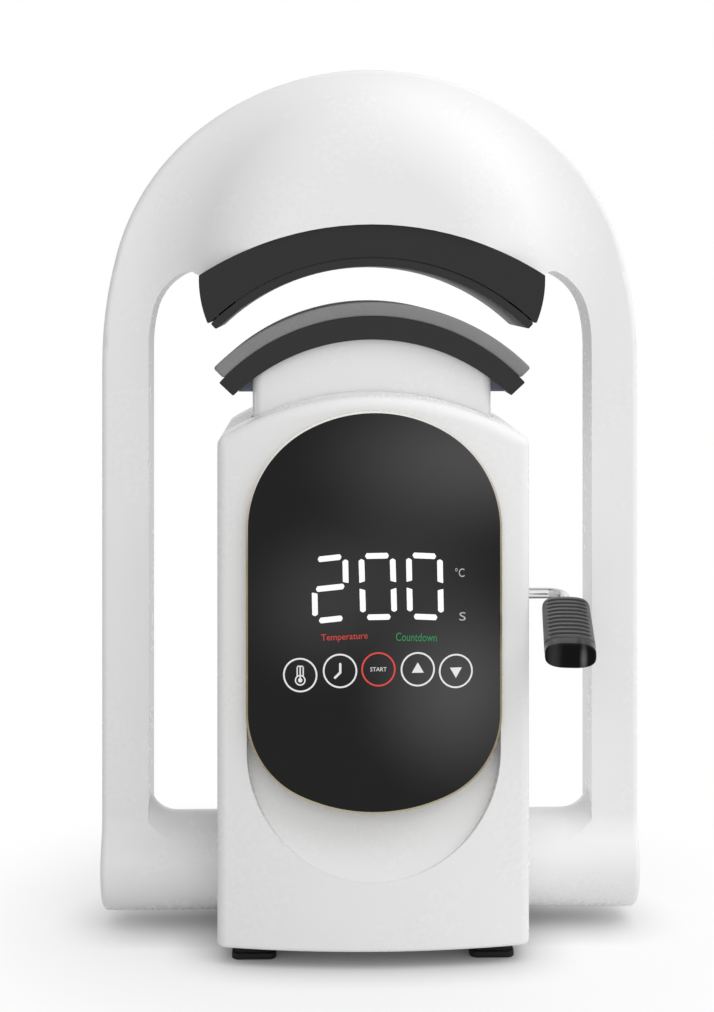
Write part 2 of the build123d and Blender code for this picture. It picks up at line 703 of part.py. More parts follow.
def spring_washers():
    """Collars at the rods' lower ends, under the return springs."""
    collars = []
    for x in (-GUIDE_ROD_X, GUIDE_ROD_X):
        z = GUIDE_ROD_BOTTOM + 1
        collars.append(round_z(7.5, x, 0, z, z + 3) - round_z(GUIDE_ROD_R, x, 0, z - 1, z + 4))
    return Compound(children=collars)


def return_springs():
    """Two compression springs between the collars and the bridge."""
    springs = []
    low, high = GUIDE_ROD_BOTTOM + 4.9, BRIDGE_Z[0] - 0.9
    wire = 0.75
    for x in (-GUIDE_ROD_X, GUIDE_ROD_X):
        path = Pos(x, 0, low) * Helix(pitch=(high - low) / 6, height=high - low, radius=6.0)
        profile = Plane(origin=path @ 0, z_dir=path % 0) * Circle(wire)
        springs.append(sweep(profile, path=path, is_frenet=True))
    return Compound(children=springs)


# Lever


def lever_shaft():
    """The lever's shaft, bored at its outer end for the rod."""
    shaft = round_x(LEVER_SHAFT_R, -56, 66, 0, LEVER_Z)
    shaft = chamfer(shaft.edges().filter_by(GeomType.CIRCLE), 0.6)
    for x in (-54.6, 53.4):
        groove = round_x(8, x, x + 1.2, 0, LEVER_Z) - round_x(LEVER_SHAFT_R - 1, x, x + 1.2, 0, LEVER_Z)
        shaft -= groove
    return shaft - round_x(ROD_R, 46, 67, 0, LEVER_Z)


def retaining_rings():
    """Circlips in the shaft's grooves, outside the two bushes."""
    rings = []
    for x in (-54.6, 53.4):
        ring = round_x(8.2, x, x + 1.2, 0, LEVER_Z) - round_x(LEVER_SHAFT_R - 1, x, x + 1.2, 0, LEVER_Z)
        rings.append(ring - block((x - 1, x + 2), (-2.6, 2.6), (LEVER_Z - 12, LEVER_Z)))
    return Compound(children=rings)


def cam_radius(angle):
    """Cam radius at an angle, in degrees from +Y towards +Z: it grows evenly as the angle falls."""
    rise = STROKE / LEVER_TURN_DEG
    return ROLLER_RISE - ROLLER_R - CAM_GAP + rise * (90 - angle)


def cam_point(angle, trim=0.0):
    """A point of the cam's rim in Y and Z, about the shaft."""
    radius = cam_radius(angle) - trim
    return (radius * cos(radians(angle)), LEVER_Z + radius * sin(radians(angle)))


def lever_cam():
    """The even-rise cam: each degree of lever lifts the ram by the same amount."""
    start, end = CAM_ANGLES
    angles = [start + (end - start) * k / 8 for k in range(9)]
    rise = Spline([cam_point(a, CAM_RUN_IN) for a in angles])
    hub_low = (-CAM_HUB_R * sin(radians(20)), LEVER_Z - CAM_HUB_R * cos(radians(20)))
    hub_left = (-CAM_HUB_R, LEVER_Z)
    nose = ThreePointArc(rise @ 1, (30, LEVER_Z - 15), (12, LEVER_Z - 19))
    heel = ThreePointArc(nose @ 1, hub_low, hub_left)
    face = make_face([rise, nose, heel, Line(hub_left, rise @ 0)])
    cam = slab_x(face, -CAM_T / 2, CAM_T / 2) + round_x(CAM_HUB_R, -14, 14, 0, LEVER_Z)
    cam -= round_x(3.6, -10, 10, 17.5, LEVER_Z + 1.5)
    cam -= round_z(2.0, 9.5, 0, LEVER_Z - 20, LEVER_Z)
    return cam - round_x(LEVER_SHAFT_R, -20, 20, 0, LEVER_Z)


def cam_set_screw():
    """The set screw in the cam's hub."""
    screw = round_z(1.95, 9.5, 0, LEVER_Z - CAM_HUB_R, LEVER_Z - LEVER_SHAFT_R - 0.1)
    return screw - slab_z(Pos(9.5, 0) * RegularPolygon(1.1, 6), LEVER_Z - CAM_HUB_R - 1, LEVER_Z - CAM_HUB_R + 2)


def grip_plane(distance):
    """The plane across the grip, at a distance along its axis from the rod's corner."""
    start, end = Vector(*ROD_CORNER), Vector(*ROD_END)
    along = (end - start).normalized()
    sideways = Vector(0, 0, 1).cross(along).normalized()
    return Plane(origin=start + along * distance, x_dir=sideways, z_dir=along)


def lever_rod():
    """The chrome rod: straight out of the shaft, then bent forward into the grip."""
    corner, end = Vector(*ROD_CORNER), Vector(*ROD_END)
    path = FilletPolyline((46.2, 0, LEVER_Z), corner, end, radius=ROD_BEND_R)
    profile = Plane(origin=path @ 0, z_dir=path % 0) * Circle(ROD_R)
    return sweep(profile, path=path, transition=Transition.ROUND)


def grip_blank(start, length, width, thickness, corner):
    """A rounded bar on the grip's axis."""
    outline = fillet(Rectangle(width, thickness).vertices(), corner)
    return extrude(grip_plane(start) * outline, length)


def grip_sleeve(rod):
    """The dark grip with its row of cross ribs above and below."""
    length = GRIP_LENGTH - CAP_LENGTH
    sleeve = grip_blank(GRIP_START, length, GRIP_W, GRIP_T, 4.0)
    back = sleeve.faces().sort_by(Axis.Y)[-1]
    sleeve = fillet(back.edges(), 2.5)
    for k in range(RIB_COUNT):
        groove = grip_plane(GRIP_START + 7 + RIB_PITCH * k)
        for side in (-1, 1):
            cut = Pos(0, side * (GRIP_T / 2 + 0.4), 0) * Box(19.0, 3.2, 3.4)
            sleeve -= Location(groove) * cut
    return sleeve - rod


def grip_end_cap():
    """The glossy cap that closes the grip's front end."""
    cap = grip_blank(GRIP_START + GRIP_LENGTH - CAP_LENGTH, CAP_LENGTH, GRIP_W, GRIP_T, 4.0)
    front = cap.faces().sort_by(Axis.Y)[0]
    return fillet(front.edges(), 1.8)


# Body


def body_plan(inset=0.0):
    """Plan of the body: straight sides, bulged front and nearly flat back."""
    half = BODY_HALF - inset
    front_r = BODY_BULGE_R - inset
    front_y = BODY_FRONT + inset
    side_front = front_y + front_r - sqrt(front_r**2 - half**2)
    back_y = BODY_BACK - inset
    back_r = BODY_BACK_R - inset
    side_back = back_y - back_r + sqrt(back_r**2 - half**2)
    front = ThreePointArc((-half, side_front), (0, front_y), (half, side_front))
    back = ThreePointArc((half, side_back), (0, back_y), (-half, side_back))
    plan = make_face([front, Line(front @ 1, back @ 0), back, Line(back @ 1, front @ 0)])
    return fillet(plan.vertices(), BODY_EDGE_R - inset)


def vault_face(inset=0.0, low=-5.0):
    """Front view of the body: straight sides under a shallow vault."""
    half = BODY_HALF + 5
    radius = VAULT_R - inset
    centre = BODY_TOP - VAULT_R
    side = (half, arc_height(radius, centre, half))
    top = ThreePointArc((-half, side[1]), (0, centre + radius), side)
    return make_face([top, Line(side, (half, low)), Line((half, low), (-half, low)), Line((-half, low), top @ 0)])


def scoop_cutter(growth=0.0):
    """The wedge under the panel: a U in front view, with a floor that falls away upwards."""
    radius = SCOOP_R + growth
    outline = Pos(0, SCOOP_Z) * Circle(radius) + Pos(0, SCOOP_Z + 20) * Rectangle(2 * radius, 40)
    foot_z = SCOOP_Z - SCOOP_R
    slope = tan(radians(SCOOP_SLOPE_DEG))
    floor_y = BODY_FRONT + 0.4 + growth / cos(radians(SCOOP_SLOPE_DEG))
    low, high = foot_z - 20, SCOOP_TOP + growth
    low_y, high_y = (floor_y + (z - foot_z) * slope for z in (low, high))
    section = Polyline([(-120, low), (low_y, low), (high_y, high), (-120, high)], close=True)
    wedge = slab_x(make_face(section), -100, 100)
    return slab_y(outline, -120, 0) & wedge


def body_outer():
    """The body before it is hollowed and split."""
    body = slab_z(body_plan(), BODY_BOTTOM, BODY_TOP + 5)
    body = body & slab_y(vault_face(), -100, 100)
    body = fillet([e for e in body.edges() if (e @ 0.5).Z > FRAME_TOP], BODY_TOP_EDGE_R)
    return fillet(body.edges().group_by(Axis.Z)[0], BODY_BOTTOM_EDGE_R)


def body_inner():
    """The space inside the body's walls."""
    inner = slab_z(body_plan(BODY_WALL), BODY_BOTTOM - 1, BODY_TOP + 5)
    inner = inner & slab_y(vault_face(BODY_WALL), -100, 100)
    return inner - scoop_cutter(BODY_WALL)


def housing_screw_points():
    """The four bosses that hold the rear housing to the front one."""
    return [(x, z) for x in (-68.5, 68.5) for z in (72.0, 228.0)]


def window_y(centre, size, low, high):
    """A rectangular cutter along Y, with its centre given in X and Z."""
    return slab_y(Pos(*centre) * Rectangle(*size), low, high)


def housings():
    """Front and rear housing, split where shaft and pivot leave the body."""
    outer = body_outer() - scoop_cutter()
    shell = outer - body_inner()
    bosses = [round_y(4.5, x, -90, 90, z) for x, z in housing_screw_points()]
    shell += Compound(children=bosses) & outer
    reach_x, reach_y = NECK_HALF + NECK_CLEARANCE, NECK_HALF_DEPTH + NECK_CLEARANCE
    well = block((-reach_x, reach_x), (-reach_y, reach_y), (258, 300))
    shell -= fillet(well.edges().filter_by(Axis.Z), NECK_EDGE_R + NECK_CLEARANCE)
    for side in (-1, 1):
        low, high = sorted((side * 70, side * 90))
        shell -= round_x(SHAFT_R + 0.8, low, high, 0, PIVOT_Z)
    shell -= round_x(ROD_R + 0.9, 70, 90, 0, LEVER_Z)
    shell -= window_y((0, DISPLAY_Z), DISPLAY_OPENING, -90, -60)
    for x, z in housing_screw_points():
        shell -= round_y(1.5, x, -30, 0.1, z)
        shell -= round_y(1.8, x, 0, 90, z)
        shell -= round_y(3.6, x, 40, 90, z)
    for x, case, flange in ((INLET_X, INLET_CASE, INLET_FLANGE), (SWITCH_X, SWITCH_CASE, SWITCH_FLANGE)):
        shell -= window_y((x, INLET_ZC), [side + 0.2 for side in case], 50, 90)
        shell -= window_y((x, INLET_ZC), [side + 0.4 for side in flange], BACK_SEAT, 90)
    for k in range(VENT_COUNT):
        shell -= slab_y(Pos(0, VENT_Z + VENT_PITCH * k) * SlotOverall(70, 3.2), 50, 90)
    front = shell & block((-100, 100), (-100, 0), (0, 320))
    rear = shell & block((-100, 100), (0, 100), (0, 320))
    return front, rear


def housing_screws():
    """Long screws from behind through the rear bosses."""
    screws = []
    for x, z in housing_screw_points():
        screws.append(round_y(1.48, x, -16, 0, z) + round_y(1.75, x, 0, 40, z) + round_y(3.3, x, 40, 42.6, z))
    return Compound(children=screws)


def base_plate():
    """The steel floor of the body, with holes for the feet's screws and for air."""
    plan = body_plan(BODY_WALL + 0.3)
    for x in (-FOOT_X, FOOT_X):
        for y in FOOT_Y:
            plan -= Pos(x, y) * Circle(2.1)
    for k in range(-3, 4):
        plan -= Pos(k * 9.0, 50) * SlotOverall(30, 4, rotation=90)
    return slab_z(plan, BODY_BOTTOM, BODY_BOTTOM + BASE_T)


def rubber_feet():
    """Four oblong feet: a pad below, a narrower neck above, and a recess for the screw's head."""
    length, width = FOOT_SIZE
    feet = []
    for x in (-FOOT_X, FOOT_X):
        for y in FOOT_Y:
            pad = Pos(x, y) * RectangleRounded(length, width, 4)
            neck = Pos(x, y) * RectangleRounded(length - 2 * FOOT_STEP, width - 2 * FOOT_STEP, 3)
            foot = slab_z(pad, 0, FOOT_PAD_T)
            foot = fillet(foot.edges().group_by(Axis.Z)[-1], 0.8)
            foot = chamfer(foot.edges().group_by(Axis.Z)[0], 0.4)
            foot += slab_z(neck, FOOT_PAD_T - 1, BODY_BOTTOM)
            foot -= round_z(4.4, x, y, -1, 3) + round_z(2.1, x, y, 2, BODY_BOTTOM + 1)
            feet.append(foot)
    return Compound(children=feet)


def foot_screws():
    """Pan-head screws up through the feet, with nuts on the floor plate."""
    screws = []
    top = BODY_BOTTOM + BASE_T
    for x in (-FOOT_X, FOOT_X):
        for y in FOOT_Y:
            nut = slab_z(Pos(x, y) * RegularPolygon(4.0, 6), top, top + 3)
            screws.append(round_z(4.0, x, y, 0.8, 3) + round_z(2.05, x, y, 3, top + 5) + nut)
    return Compound(children=screws)


# Chassis


def side_frame():
    """One upright of the chassis, with flanged foot, shaft holes and a lightening slot."""
    floor = BODY_BOTTOM + BASE_T
    upright = Pos(0, (floor + FRAME_TOP) / 2) * Rectangle(2 * FRAME_HALF_DEPTH, FRAME_TOP - floor)
    upright = fillet(upright.vertices().group_by(Axis.Y)[-1], 8)
    upright -= Pos(0, PIVOT_Z) * Circle(SHAFT_R + 3) + Pos(0, LEVER_Z) * Circle(LEVER_SHAFT_R + 2.5)
    upright -= Pos(0, 104) * SlotOverall(80, 32, rotation=90)
    for y in (-BRIDGE_SCREW_Y, BRIDGE_SCREW_Y):
        upright -= Pos(y, (BRIDGE_Z[0] + BRIDGE_Z[1]) / 2) * Circle(2.0)
    frame = slab_x(upright, FRAME_X, FRAME_X + FRAME_T)
    return frame + block((FRAME_X, FRAME_X + 18), (-FRAME_HALF_DEPTH, FRAME_HALF_DEPTH), (floor, floor + FRAME_T))


def flanged_bush(shaft_r, wall, z):
    """A bush along X in a side frame, with its flange on the outer side."""
    high = FRAME_X + 2 * FRAME_T
    bush = round_x(shaft_r + wall, FRAME_X, high, 0, z)
    bush += round_x(shaft_r + 2 * wall, FRAME_X + FRAME_T, high, 0, z)
    return bush - round_x(shaft_r + RUNNING, FRAME_X - 1, high + 1, 0, z)


def guide_bridge():
    """The cross block that guides the ram, bored for three bushes."""
    x = FRAME_X
    bridge = block((-x, x), (-BRIDGE_HALF_DEPTH, BRIDGE_HALF_DEPTH), BRIDGE_Z)
    bridge = fillet(bridge.edges().filter_by(Axis.X), 3)
    bridge -= round_z(COLUMN_R + 3, 0, 0, 220, 260)
    for side in (-GUIDE_ROD_X, GUIDE_ROD_X):
        bridge -= round_z(GUIDE_ROD_R + 2, side, 0, 220, 260)
    for side in (-1, 1):
        for y in (-BRIDGE_SCREW_Y, BRIDGE_SCREW_Y):
            low, high = sorted((side * (x - 14), side * (x + 1)))
            bridge -= round_x(2.0, low, high, y, (BRIDGE_Z[0] + BRIDGE_Z[1]) / 2)
    return bridge


def bridge_screws():
    """Cap screws through the side frames into the bridge."""
    z = (BRIDGE_Z[0] + BRIDGE_Z[1]) / 2
    screws = []
    for y in (-BRIDGE_SCREW_Y, BRIDGE_SCREW_Y):
        screws.append(round_x(1.98, FRAME_X - 12, FRAME_X + FRAME_T, y, z)
                      + round_x(3.6, FRAME_X + FRAME_T, FRAME_X + FRAME_T + 3, y, z))
    return both_sides(Compound(children=screws))


def column_bush():
    """The flanged bronze bush that the column slides in."""
    bush = round_z(COLUMN_R + 3, 0, 0, *BRIDGE_Z)
    bush += round_z(COLUMN_R + 6, 0, 0, BRIDGE_Z[1], BRIDGE_Z[1] + 2.5)
    return bush - round_z(COLUMN_R + RUNNING, 0, 0, BRIDGE_Z[0] - 1, BRIDGE_Z[1] + 4)


def rod_bushes():
    """The two small bushes for the guide rods."""
    bushes = []
    for x in (-GUIDE_ROD_X, GUIDE_ROD_X):
        bush = round_z(GUIDE_ROD_R + 2, x, 0, BRIDGE_Z[0], BRIDGE_Z[1])
        bushes.append(bush - round_z(GUIDE_ROD_R + RUNNING, x, 0, BRIDGE_Z[0] - 1, BRIDGE_Z[1] + 1))
    return Compound(children=bushes)


# Touch panel and electrics


def panel_face(growth=0.0):
    """Front view of the oval touch panel."""
    half = PANEL_HALF + growth
    crown = JernArc((0, PANEL_TOP + growth), (1, 0), PANEL_CROWN_R + growth, -PANEL_CROWN_DEG)
    lean = 1 - sin(radians(PANEL_CROWN_DEG))
    upper = JernArc(crown @ 1, crown % 1, (half - (crown @ 1).X) / lean, PANEL_CROWN_DEG - 90)
    toe = JernArc((0, PANEL_BOTTOM - growth), (1, 0), PANEL_TOE_R + growth, PANEL_TOE_DEG)
    toe_lean = 1 - sin(radians(PANEL_TOE_DEG))
    lower = JernArc(toe @ 1, toe % 1, (half - (toe @ 1).X) / toe_lean, 90 - PANEL_TOE_DEG)
    side = Line(upper @ 1, lower @ 1)
    return half_face([crown, upper, side, lower, toe, Line(toe @ 0, crown @ 0)])


def bulged_layer(back, front):
    """A layer that follows the body's bulged front, between two distances in front of it."""
    centre_y = BODY_FRONT + BODY_BULGE_R
    outer = Pos(0, centre_y) * Circle(BODY_BULGE_R + front)
    layer_plan = outer - Pos(0, centre_y) * Circle(BODY_BULGE_R + back)
    window = Pos(0, BODY_FRONT) * Rectangle(2 * BODY_HALF, 60)
    return slab_z(layer_plan & window, 60, 300)


def control_glass():
    """The bulged cover glass of the touch panel, with a softened edge."""
    glass = slab_y(panel_face(), -100, -50) & bulged_layer(GLASS_FRONT - GLASS_T, GLASS_FRONT)
    rim = glass.faces().sort_by(Axis.Y)[0].edges()
    return fillet(rim, 0.8)


def glass_rim():
    """The thin metal rim round the glass, with the tray that the glass is bonded to."""
    ring = slab_y(panel_face(RIM_W), -100, -50) & bulged_layer(0.0, GLASS_FRONT - 0.4)
    ring -= slab_y(panel_face(), -100, -50) & bulged_layer(GLASS_FRONT - GLASS_T, GLASS_FRONT + 5)
    return ring - slab_y(Pos(0, DISPLAY_Z) * Rectangle(*DISPLAY_OPENING), -100, -50)


def display_board():
    """The circuit board behind the glass."""
    board = block((-46.5, 46.5), (-70.6, -69), (143, 229))
    chips = block((-20, -6), (-69, -66.5), (170, 182)) + block((12, 26), (-69, -67), (205, 215))
    return board + chips


def led_display():
    """The digit module, key sensors and their light guides on the board, behind the glass."""
    module = block((-36, 36), (-75.4, -70.6), (176, 212))
    for k in range(5):
        module += round_y(6.5, KEY_PITCH * (k - 2), -75.4, -70.6, KEY_Z)
    return module


def power_board():
    """The mains board on the floor, with its relay, transformer and capacitor."""
    board = block((-38, 38), (30.6, 32.2), (62, 122))
    board += block((-30, -4), (14, 30.6), (70, 92)) + block((4, 22), (16, 30.6), (72, 88))
    return board + round_y(6.0, 14, 14, 30.6, 106) + block((-26, -12), (24, 30.6), (100, 114))


def inlet_socket():
    """The three-pin appliance inlet, with its flange on the back wall."""
    wall = BACK_SEAT
    flange = Pos(INLET_X, INLET_ZC) * fillet(Rectangle(*INLET_FLANGE).vertices(), 3)
    cup = Pos(INLET_X, INLET_ZC) * chamfer(Rectangle(*INLET_CASE).vertices().group_by(Axis.Y)[0], 4)
    cavity = Pos(INLET_X, INLET_ZC) * chamfer(Rectangle(*INLET_CAVITY).vertices().group_by(Axis.Y)[0], 4)
    socket = slab_y(cup, wall - 23, wall) + slab_y(flange, wall, wall + 2.4)
    socket -= slab_y(cavity, wall - 15, wall + 5)
    for x, z in inlet_pin_points():
        socket -= slab_y(Pos(x, z) * Rectangle(2.0, 4.0), wall - 24, wall)
    return socket


def inlet_pin_points():
    """Line and neutral side by side, earth between and above them."""
    return [(INLET_X - 7.0, INLET_ZC - 2.0), (INLET_X + 7.0, INLET_ZC - 2.0), (INLET_X, INLET_ZC + 2.0)]


def inlet_pins():
    """The inlet's three flat pins with their solder tabs."""
    wall = BACK_SEAT
    pins = [slab_y(Pos(x, z) * Rectangle(2.0, 4.0), wall - 29, wall - 1.5) for x, z in inlet_pin_points()]
    return Compound(children=pins)


def switch_bezel():
    """The rocker switch's case and flange."""
    wall = BACK_SEAT
    flange = Pos(SWITCH_X, INLET_ZC) * fillet(Rectangle(*SWITCH_FLANGE).vertices(), 1.5)
    case = window_y((SWITCH_X, INLET_ZC), SWITCH_CASE, wall - 16, wall) + slab_y(flange, wall, wall + 2)
    case -= window_y((SWITCH_X, INLET_ZC), (16.6, 10.6), wall - 9, wall + 3)
    reach = SWITCH_CASE[1] / 2 + 1
    return case - round_z(ROCKER_PIN_R + RUNNING, SWITCH_X, ROCKER_AXIS_Y, INLET_ZC - reach, INLET_ZC + reach)


def power_rocker():
    """The rocker, at rest in its off position: two flats that meet in a shallow valley."""
    points = [(7.7, 4.2), (7.4, -2.4), (-7.4, -2.4), (-7.7, 4.2), (0, 2.6)]
    rocker = slab_z(make_face(Polyline(points, close=True)), -4.9, 4.9) - Cylinder(ROCKER_PIN_R, 12)
    return Pos(SWITCH_X, ROCKER_AXIS_Y, INLET_ZC) * Rot(0, 0, ROCKER_TILT) * rocker


def rocker_pin():
    """The pin through the rocker, which turns in the case's two side walls."""
    reach = SWITCH_CASE[1] / 2 - 0.3
    return round_z(ROCKER_PIN_R, SWITCH_X, ROCKER_AXIS_Y, INLET_ZC - reach, INLET_ZC + reach)


def save(name, shape):
    """Write one node."""
    export_step(shape, f"parts/{name}.step")


def main():
    os.makedirs("parts", exist_ok=True)
    arch_front, arch_rear = arch_shells()
    front, rear = housings()
    rod = lever_rod()
    frame = side_frame()
    pivot_bush = flanged_bush(SHAFT_R, 3.0, PIVOT_Z)
    lever_bush = flanged_bush(LEVER_SHAFT_R, 2.5, LEVER_Z)
    nodes = {
        "arch_front_shell": arch_front, "arch_rear_shell": arch_rear, "arch_spine": arch_spine(),
        "hub_blocks": both_sides(hub_block()), "pivot_shaft": pivot_shaft(),
        "hub_washers": both_sides(hub_washer()), "arch_screws": arch_screws(),
        "upper_cover": upper_cover(), "heater_plate": heater_plate(), "heating_element": heating_element(),
        "insulation_pad": insulation_pad(), "thermal_cutout": thermal_cutout(),
        "temperature_probe": temperature_probe(), "heater_standoffs": heater_standoffs(),
        "hanger_bars": hanger_bars(), "hanger_nuts": hanger_nuts(),
        "lower_plate": lower_plate(), "silicone_pad": silicone_pad(), "saddle_bracket": saddle_bracket(),
        "platen_screws": platen_screws(), "neck_cover": neck_cover(), "neck_screws": neck_screws(),
        "ram_column": ram_column(), "ram_screws": ram_screws(), "cam_roller": cam_roller(),
        "roller_pin": roller_pin(), "rod_plate": rod_plate(), "guide_rods": guide_rods(),
        "spring_washers": spring_washers(), "return_springs": return_springs(),
        "lever_shaft": lever_shaft(), "retaining_rings": retaining_rings(), "lever_cam": lever_cam(),
        "cam_set_screw": cam_set_screw(), "lever_rod": rod, "grip_sleeve": grip_sleeve(rod),
        "grip_end_cap": grip_end_cap(),
        "front_housing": front, "rear_housing": rear, "housing_screws": housing_screws(),
        "base_plate": base_plate(), "rubber_feet": rubber_feet(), "foot_screws": foot_screws(),
        "side_frames": both_sides(frame), "pivot_bushes": both_sides(pivot_bush),
        "lever_bushes": both_sides(lever_bush), "guide_bridge": guide_bridge(),
        "bridge_screws": bridge_screws(), "column_bush": column_bush(), "rod_bushes": rod_bushes(),
        "control_glass": control_glass(), "glass_rim": glass_rim(), "display_board": display_board(),
        "led_display": led_display(), "power_board": power_board(), "inlet_socket": inlet_socket(),
        "inlet_pins": inlet_pins(), "switch_bezel": switch_bezel(), "power_rocker": power_rocker(),
        "rocker_pin": rocker_pin(),
    }
    for name, shape in nodes.items():
        save(name, shape)


main()
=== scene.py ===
import logging
import math
from dataclasses import dataclass, field
from enum import Enum, StrEnum, auto
from typing import ClassVar

import bmesh
import bpy
from mathutils import Matrix, Vector


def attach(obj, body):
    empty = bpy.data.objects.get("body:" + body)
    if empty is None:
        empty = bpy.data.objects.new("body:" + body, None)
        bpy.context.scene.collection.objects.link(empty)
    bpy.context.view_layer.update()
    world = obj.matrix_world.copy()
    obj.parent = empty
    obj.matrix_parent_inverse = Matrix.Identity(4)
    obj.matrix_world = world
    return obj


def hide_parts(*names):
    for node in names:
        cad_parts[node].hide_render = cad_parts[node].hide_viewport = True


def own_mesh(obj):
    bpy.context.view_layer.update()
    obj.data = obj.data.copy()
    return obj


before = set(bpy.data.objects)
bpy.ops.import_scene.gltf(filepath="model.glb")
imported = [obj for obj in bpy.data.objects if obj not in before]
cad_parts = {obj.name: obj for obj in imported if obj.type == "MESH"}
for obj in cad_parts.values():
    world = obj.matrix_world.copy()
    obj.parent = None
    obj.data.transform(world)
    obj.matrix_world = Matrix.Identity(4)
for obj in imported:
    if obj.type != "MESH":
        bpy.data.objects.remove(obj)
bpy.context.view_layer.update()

LOG = logging.getLogger("cap_heat_press")
MM = 0.001
Pair = tuple[float, float]
Triple = tuple[float, float, float]
Node = bpy.types.Node
Socket = bpy.types.NodeSocket
Value = Socket | float
Inputs = dict[str | int, Value | Triple]
Layer = tuple[Socket, Triple]


class Slot(StrEnum):
    """The finishes of the press, by the names its record gives them."""

    WHITE_GLOSS = auto()
    ZINC_SCREW = auto()
    PLATE_STEEL = auto()
    FOOT_RUBBER = auto()
    BRONZE = auto()
    CAST_ALUMINIUM = auto()
    SADDLE_PAINT = auto()
    PANEL_GLASS = auto()
    GOLD_RIM = auto()
    CIRCUIT_BOARD = auto()
    LED_MODULE = auto()
    SWITCH_BLACK = auto()
    BRIGHT_PIN = auto()
    WASHER_WHITE = auto()
    COVER_BLACK = auto()
    PLATEN_COAT = auto()
    ELEMENT_FOIL = auto()
    CERAMIC_FIBRE = auto()
    SENSOR_BRASS = auto()
    PAD_SILICONE = auto()
    SPRING_STEEL = auto()
    CAM_STEEL = auto()
    ROD_CHROME = auto()
    GRIP_GREY = auto()
    CAP_BLACK = auto()


class Body(StrEnum):
    """The bodies of the press that new pieces ride on."""

    BASE = auto()
    RAM = auto()
    LEVER = auto()


class Texture(Enum):
    """The shared surface effects."""

    GRAIN = "fine_grain"
    STREAKS = "drawn_streaks"
    DUST = "settled_dust"
    SMUDGE = "handling_smudge"
    WAVES = "moulded_waves"
    PAINTED_REFLECTION = "painted_reflection_patch"
    CELLS = "uneven_glow"


# Node trees


@dataclass
class Sheet:
    """A node tree with short ways to add and join its nodes.

    Attributes:
        tree: The tree of a material, a world or a shared group.
        mix_inputs: Where a Mix node takes its mask and its two colours.
        mix_output: Where it gives the mixed colour.
    """

    tree: bpy.types.NodeTree
    mix_inputs: tuple[int, int, int] = (0, 6, 7)
    mix_output: int = 2

    def feed(self, node: Node, inputs: Inputs) -> Node:
        """Feeds a node.

        Args:
            node: The node.
            inputs: What its inputs get, by name or place: a socket to link, or a constant.

        Returns:
            The node.
        """
        for place, value in inputs.items():
            socket = node.inputs[place]
            if isinstance(value, Socket):
                self.tree.links.new(value, socket)
            else:
                socket.default_value = (*value, 1.0) if socket.type == "RGBA" else value
        return node

    def add(self, kind: str, inputs: Inputs | None = None, **settings: object) -> Node:
        """Adds a node.

        Args:
            kind: The node's type, without its common prefix.
            inputs: What its inputs get.
            settings: Properties of the node.

        Returns:
            The new node.
        """
        node = self.tree.nodes.new("ShaderNode" + kind)
        for name, value in settings.items():
            setattr(node, name, value)
        return self.feed(node, inputs or {})

    def place(self) -> Socket:
        """The shaded point in the piece's own coordinates."""
        return self.add("TexCoord").outputs["Object"]

    def axis(self, vector: Socket, name: str) -> Socket:
        """Takes one axis of a vector."""
        return self.add("SeparateXYZ", {0: vector}).outputs[name]

    def length(self, vector: Socket) -> Socket:
        """Measures a vector."""
        return self.add("VectorMath", {0: vector}, operation="LENGTH").outputs["Value"]

    def calc(self, operation: str, *values: Value) -> Socket:
        """Works on values in their order."""
        return self.add("Math", dict(enumerate(values)), operation=operation).outputs[0]

    def noise(self, vector: Socket, scale: Value, detail: float = 3.0,
              roughness: float = 0.55) -> Socket:
        """Reads noise of a scale per metre, which is about 0.5 on average."""
        inputs = {"Vector": vector, "Scale": scale, "Detail": detail, "Roughness": roughness}
        return self.add("TexNoise", inputs).outputs["Fac"]

    def ramp(self, value: Socket, low: float, high: float,
             start: Value = 0.0, end: Value = 1.0) -> Socket:
        """Maps a value softly from low..high to start..end, and holds it there outside."""
        inputs = dict(enumerate((value, low, high, start, end)))
        return self.add("MapRange", inputs, interpolation_type="SMOOTHSTEP").outputs["Result"]

    def blend(self, mask: Socket, first: Socket | Triple, second: Socket | Triple) -> Socket:
        """Mixes two colours by a mask: 0 for the first, 1 for the second."""
        inputs = dict(zip(self.mix_inputs, (mask, first, second)))
        return self.add("Mix", inputs, data_type="RGBA").outputs[self.mix_output]

    def mix(self, mask: Socket, first: Node, second: Node) -> Node:
        """Mixes two shaders by a mask: 0 for the first, 1 for the second."""
        return self.add("MixShader", {0: mask, 1: first.outputs[0], 2: second.outputs[0]})


